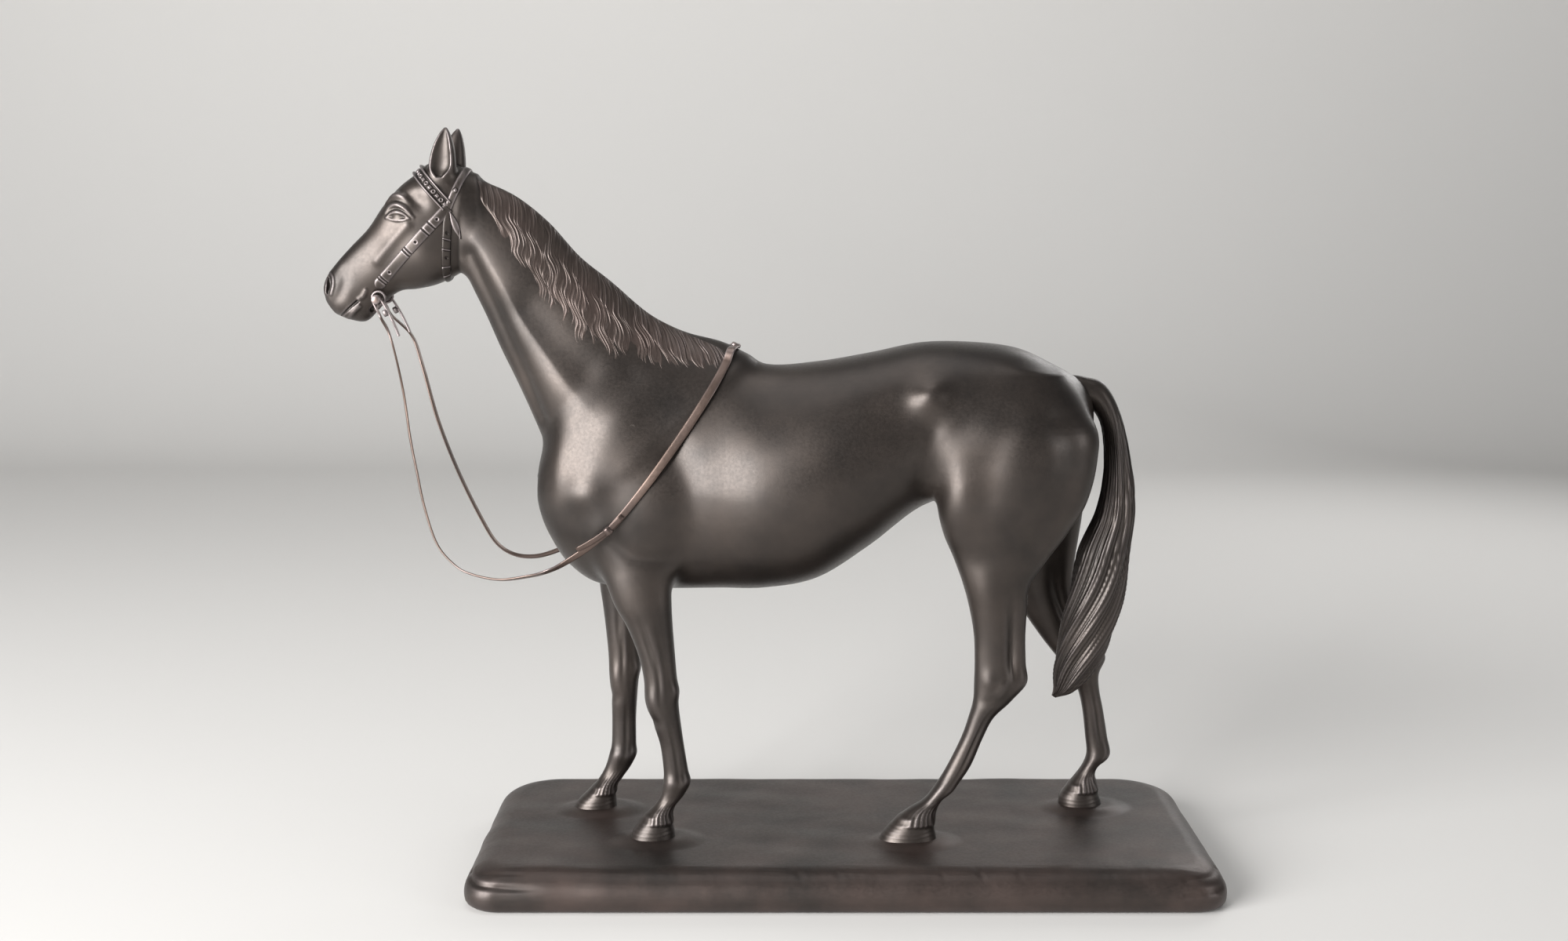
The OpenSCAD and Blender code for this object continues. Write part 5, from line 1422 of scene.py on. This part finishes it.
def bit_turn(hang):
    """Rows of a rein's folded end, its turn round the bit and its lead into the hanging loop."""
    down = hang_way(hang)
    start = math.degrees(math.atan2(-down[0], -down[1]))
    turn = np.radians(np.linspace(-start, 180 - start, 15))
    loop = np.stack([BIT_AT[0] + EYE_R * np.cos(turn), BIT_AT[1] + EYE_R * np.sin(turn)], 1)
    fold = loop[0] + np.outer(np.linspace(FOLD_LENGTH, 3, 8), down) + np.outer(
        0.9 * np.sin(np.linspace(0.2, 2.6, 8)), (-down[1], down[0]))
    lead = loop[-1] + np.outer((5.0, 11.0), down)
    bent = np.vstack([fold, loop, lead])
    return np.column_stack([bent[:, 0], np.full(len(bent), EYE_Y), bent[:, 1], 0 * bent[:, 0]])


def rein_line(side, hang):
    """Rows x, outward y, z and roll along a rein, and the way its flat faces.

    It turns round the bit, hangs in its loop and runs up the shoulder to the withers. It stays clear of the skin
    wherever it passes as it swings up. Its flat turns by the roll from ahead to out of the skin.
    """
    hang = np.array(hang, float)
    wide, thick = size("rein_width"), size("rein_thick")
    path = np.array(SHOULDER)
    probe = np.column_stack([path[:, 0], 0 * path[:, 0], path[:, 1]])
    hit, normal = cast("body", probe, np.broadcast_to([0.0, side, 0.0], probe.shape), BODY_REACH)
    lying = hit + normal * (thick / 2 + REIN_CLEAR)
    lying = np.column_stack([lying[:, 0], side * lying[:, 1], lying[:, 2], 0 * path[:, 0] + 90])
    for rows, room in ((hang, wide), (lying, thick)):
        rows[:, 1] = np.maximum(rows[:, 1], swept_side(side, rows[:, 0], rows[:, 2]) + room + REIN_CLEAR)
    top = [(-64.6, 13.5, 283.2, 90), (WITHERS_TOP[0], 3.0, WITHERS_TOP[1], 90)]
    rows = spline(np.vstack([bit_turn(hang), hang, lying, top]), 10)
    along = np.gradient(rows[:, :3], axis=0)
    ahead = np.stack([along[:, 2], 0 * along[:, 0], -along[:, 0]], 1)
    ahead /= np.linalg.norm(ahead, axis=1, keepdims=True)
    lean = (0 * normal[:, 0], np.abs(normal[:, 1]), normal[:, 2])
    out = np.stack([np.interp(rows[:, 0], path[:, 0], n) for n in lean], 1)
    rise = smooth_step(rows[:, 0], -68, WITHERS_TOP[0])[:, None]
    out = out * (1 - rise) + np.array((0, 0.2, 1.0)) * rise
    roll = np.radians(rows[:, 3:4])
    return rows, np.cos(roll) * ahead + np.sin(roll) * out


def rein_shells(side, hang):
    """A rein's strip, the loose end lapped on it at the shoulder, and the band that holds that end."""
    wide, thick = size("rein_width"), size("rein_thick")
    rows, face = rein_line(side, hang)
    mirror = np.array((1, side, 1))
    shells = [strip_shell(rows[:, :3] * mirror, face * mirror, wide * np.interp(rows[:, 0], *REIN_TAPER), thick)]
    lying = (rows[:, 3] > 89) & (rows[:, 0] > LAP_FROM) & (rows[:, 0] < LAP_TO)
    lap, out = rows[lying, :3], face[lying]
    part = np.linspace(1, 0, len(lap))[:, None]
    lifted = lap + out * (thick * 1.05 + 0.4 * part) + part ** 1.5 * np.array(LAP_TIP)
    shells.append(strip_shell(lifted * mirror, out * mirror, wide * 0.8, thick * 0.85))
    held = slice(len(lap) - 7, len(lap) - 4)
    band = lap[held] + out[held] * thick * 0.5
    shells.append(strip_shell(band * mirror, out[held] * mirror, wide * 1.3, thick * 3.2))
    return shells


def keeper_shell(side, hang):
    """A sleeve round a rein's folded end: a short strip that swells in its middle."""
    down = hang_way(hang)
    at = BIT_AT + down * KEEPER_AT + KEEPER_SHIFT * np.array((-down[1], down[0]))
    line = at + np.outer(KEEPER_RUN, down)
    line = np.column_stack([line[:, 0], np.full(len(line), side * EYE_Y), line[:, 1]])
    face = np.broadcast_to([-down[1], 0, down[0]], line.shape)
    swell = np.array(KEEPER_SWELL)
    return strip_shell(line, face, (0.85 * size("rein_width") + KEEPER_ROOM) * swell, KEEPER_THICK * swell)


def buckle_shell():
    """The block that joins the reins on the withers: a short tilted strip with rounded ends and a waist."""
    tilt = math.radians(BUCKLE_TILT)
    line = np.array(WITHERS_TOP) + np.outer(np.array(BUCKLE_RUN) * 0.8, (math.cos(tilt), -math.sin(tilt)))
    line = np.column_stack([line[:, 0], 0 * line[:, 0], line[:, 1] + 0.3])
    face = np.broadcast_to([math.sin(tilt), 0, math.cos(tilt)], line.shape)
    swell = np.array(BUCKLE_SWELL)
    return strip_shell(line, face, BUCKLE_WIDTH * swell, BUCKLE_THICK * swell, 24)


class HORSE_OT_reins(bpy.types.Operator):
    """Adds the two reins with their folded ends, keepers and the buckle on the withers"""
    bl_idname = "horse.reins"
    bl_label = "Reins"

    def execute(self, context):
        sides = (NEAR, NEAR_HANG), (OFF, OFF_HANG)
        for (side, hang), node in zip(sides, ("near_rein", "off_rein")):
            add_piece(node + "_strip", *joined(rein_shells(side, hang)), finish("rein bronze"), "reins", (node,),
                      "bronze_rein")
        add_piece("rein_keeper_loops", *joined([keeper_shell(*one) for one in sides]), finish("strap bronze"),
                  "reins", ("rein_keepers",), "bronze_rein")
        add_piece("rein_buckle_block", *joined([buckle_shell()]), finish("rein bronze"), "reins",
                  ("rein_buckle",), "bronze_rein")
        return {"FINISHED"}


# Nodes of the frame that keep their shape
STEEL_NODES = ("leg_dowels", "head_dowel", "tail_dowel", "hoof_studs", "hoof_washers", "hoof_nuts")
PIN_NODES = ("leg_pins", "head_pins", "neck_pins", "tail_pin")


class HORSE_OT_fixings(bpy.types.Operator):
    """Gives the dowels, pins, studs, washers and nuts their metal"""
    bl_idname = "horse.fixings"
    bl_label = "Fixings"

    def execute(self, context):
        for metal, names in ((steel_material(), STEEL_NODES), (finish("patinated bronze"), PIN_NODES)):
            for name in names:
                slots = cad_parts[name].data.materials
                slots.clear()
                slots.append(metal)
        return {"FINISHED"}


class HORSE_OT_stage(bpy.types.Operator):
    """Adds the floor, the lights and the camera"""
    bl_idname = "horse.stage"
    bl_label = "Stage"

    def execute(self, context):
        add_floor()
        add_lights()
        add_camera()
        context.scene.view_settings.view_transform = "Standard"
        return {"FINISHED"}


# Floor in metres: its near end, where it starts to bend, the bend's radius, the backdrop's top and half width
FLOOR_NEAR, FLOOR_DEPTH, FLOOR_BEND, WALL_TOP, FLOOR_HALF = -3.0, 1.6, 0.8, 4.0, 5.0
# Even light of the surroundings
STUDIO_TONE, STUDIO_STRENGTH = "#f3f6f9", 0.16


def add_floor():
    """A pale floor that curves up into a backdrop: a flat, a quarter circle and an upright, carried across x."""
    turn = np.linspace(0, np.pi / 2, 16)
    y = np.concatenate([[FLOOR_NEAR], FLOOR_DEPTH + FLOOR_BEND * np.sin(turn), [FLOOR_DEPTH + FLOOR_BEND]])
    z = np.concatenate([[0.0], FLOOR_BEND * (1 - np.cos(turn)), [WALL_TOP]])
    x = np.array([-FLOOR_HALF, FLOOR_HALF])
    points = np.stack(np.broadcast_arrays(x, y[:, None], z[:, None]), -1)
    i = np.arange(len(y) - 1) * 2
    mesh = bpy.data.meshes.new("floor")
    mesh.from_pydata(points.reshape(-1, 3).tolist(), [], np.stack([i, i + 1, i + 3, i + 2], 1).tolist())
    mesh.polygons.foreach_set("use_smooth", np.ones(len(mesh.polygons), bool))
    mesh.materials.append(plain_material("matt painted board", bpy.context.scene.horse_colours.floor, 0.85))
    floor = bpy.data.objects.new("floor", mesh)
    bpy.context.scene.collection.objects.link(floor)


# Softboxes: place and size in metres, and power; each looks at the middle of the horse
SOFTBOXES = [
    ("key", (-1.6, -1.55, 0.62), 1.6, 142.0),
    ("fill", (1.75, -1.1, 0.6), 0.9, 9.0),
    ("top", (-0.2, -0.1, 1.9), 1.2, 8.0),
    ("rim", (0.9, 1.2, 0.9), 0.8, 5.0)]
AIM = (-0.03, 0.0, 0.24)


def add_lights():
    """Soft studio light: four softboxes and a pale, even surrounding."""
    for name, place, across, power in SOFTBOXES:
        light = bpy.data.lights.new(name, "AREA")
        light.shape, light.size, light.energy = "SQUARE", across, power
        lamp = bpy.data.objects.new(name, light)
        lamp.location = place
        away = np.array(place) - AIM
        lamp.rotation_euler = (math.acos(away[2] / np.linalg.norm(away)), 0,
                               math.atan2(away[1], away[0]) + math.pi / 2)
        bpy.context.scene.collection.objects.link(lamp)
    world = bpy.data.worlds.new("studio")
    world.use_nodes = True
    background = world.node_tree.nodes["Background"]
    background.inputs["Color"].default_value = linear(STUDIO_TONE)
    background.inputs["Strength"].default_value = STUDIO_STRENGTH
    bpy.context.scene.world = world


# Camera: place in metres, tip down in degrees, and its focal length in pixels of the photograph's width
CAMERA_PLACE = (-0.0345, -1.050, 0.3921)
CAMERA_PITCH = 8.46
FOCAL_PIXELS, IMAGE_WIDTH, SENSOR = 2333.0, 2000.0, 36.0


def add_camera():
    """The photograph's view: from the near side, a little above the withers, tipped down slightly."""
    data = bpy.data.cameras.new("camera")
    data.sensor_width = SENSOR
    data.lens = FOCAL_PIXELS / IMAGE_WIDTH * SENSOR
    camera = bpy.data.objects.new("camera", data)
    camera.location = CAMERA_PLACE
    camera.rotation_euler = (math.radians(90 - CAMERA_PITCH), 0, 0)
    bpy.context.scene.collection.objects.link(camera)
    bpy.context.scene.camera = camera


STEPS = (HORSE_OT_stage, HORSE_OT_plinth, HORSE_OT_body, HORSE_OT_neck, HORSE_OT_mane, HORSE_OT_head,
         HORSE_OT_legs, HORSE_OT_tail, HORSE_OT_bridle, HORSE_OT_bit, HORSE_OT_reins, HORSE_OT_fixings)


class HORSE_PT_panel(bpy.types.Panel):
    """Lists the horse's steps in the sidebar"""
    bl_idname = "HORSE_PT_panel"
    bl_label = "Bronze horse"
    bl_space_type = "VIEW_3D"
    bl_region_type = "UI"
    bl_category = "Horse"

    def draw(self, context):
        for step in STEPS:
            self.layout.operator(step.bl_idname)


CLASSES = (HorseColours, HorseSizes, *STEPS, HORSE_PT_panel)


def register():
    for item in CLASSES:
        bpy.utils.register_class(item)
    bpy.types.Scene.horse_colours = PointerProperty(type=HorseColours)
    bpy.types.Scene.horse_sizes = PointerProperty(type=HorseSizes)


def unregister():
    del bpy.types.Scene.horse_sizes
    del bpy.types.Scene.horse_colours
    for item in reversed(CLASSES):
        bpy.utils.unregister_class(item)


def main():
    """Builds every piece in order."""
    register()
    for step in STEPS:
        group, name = step.bl_idname.split(".")
        getattr(getattr(bpy.ops, group), name)()


if __name__ == "__main__":
    main()
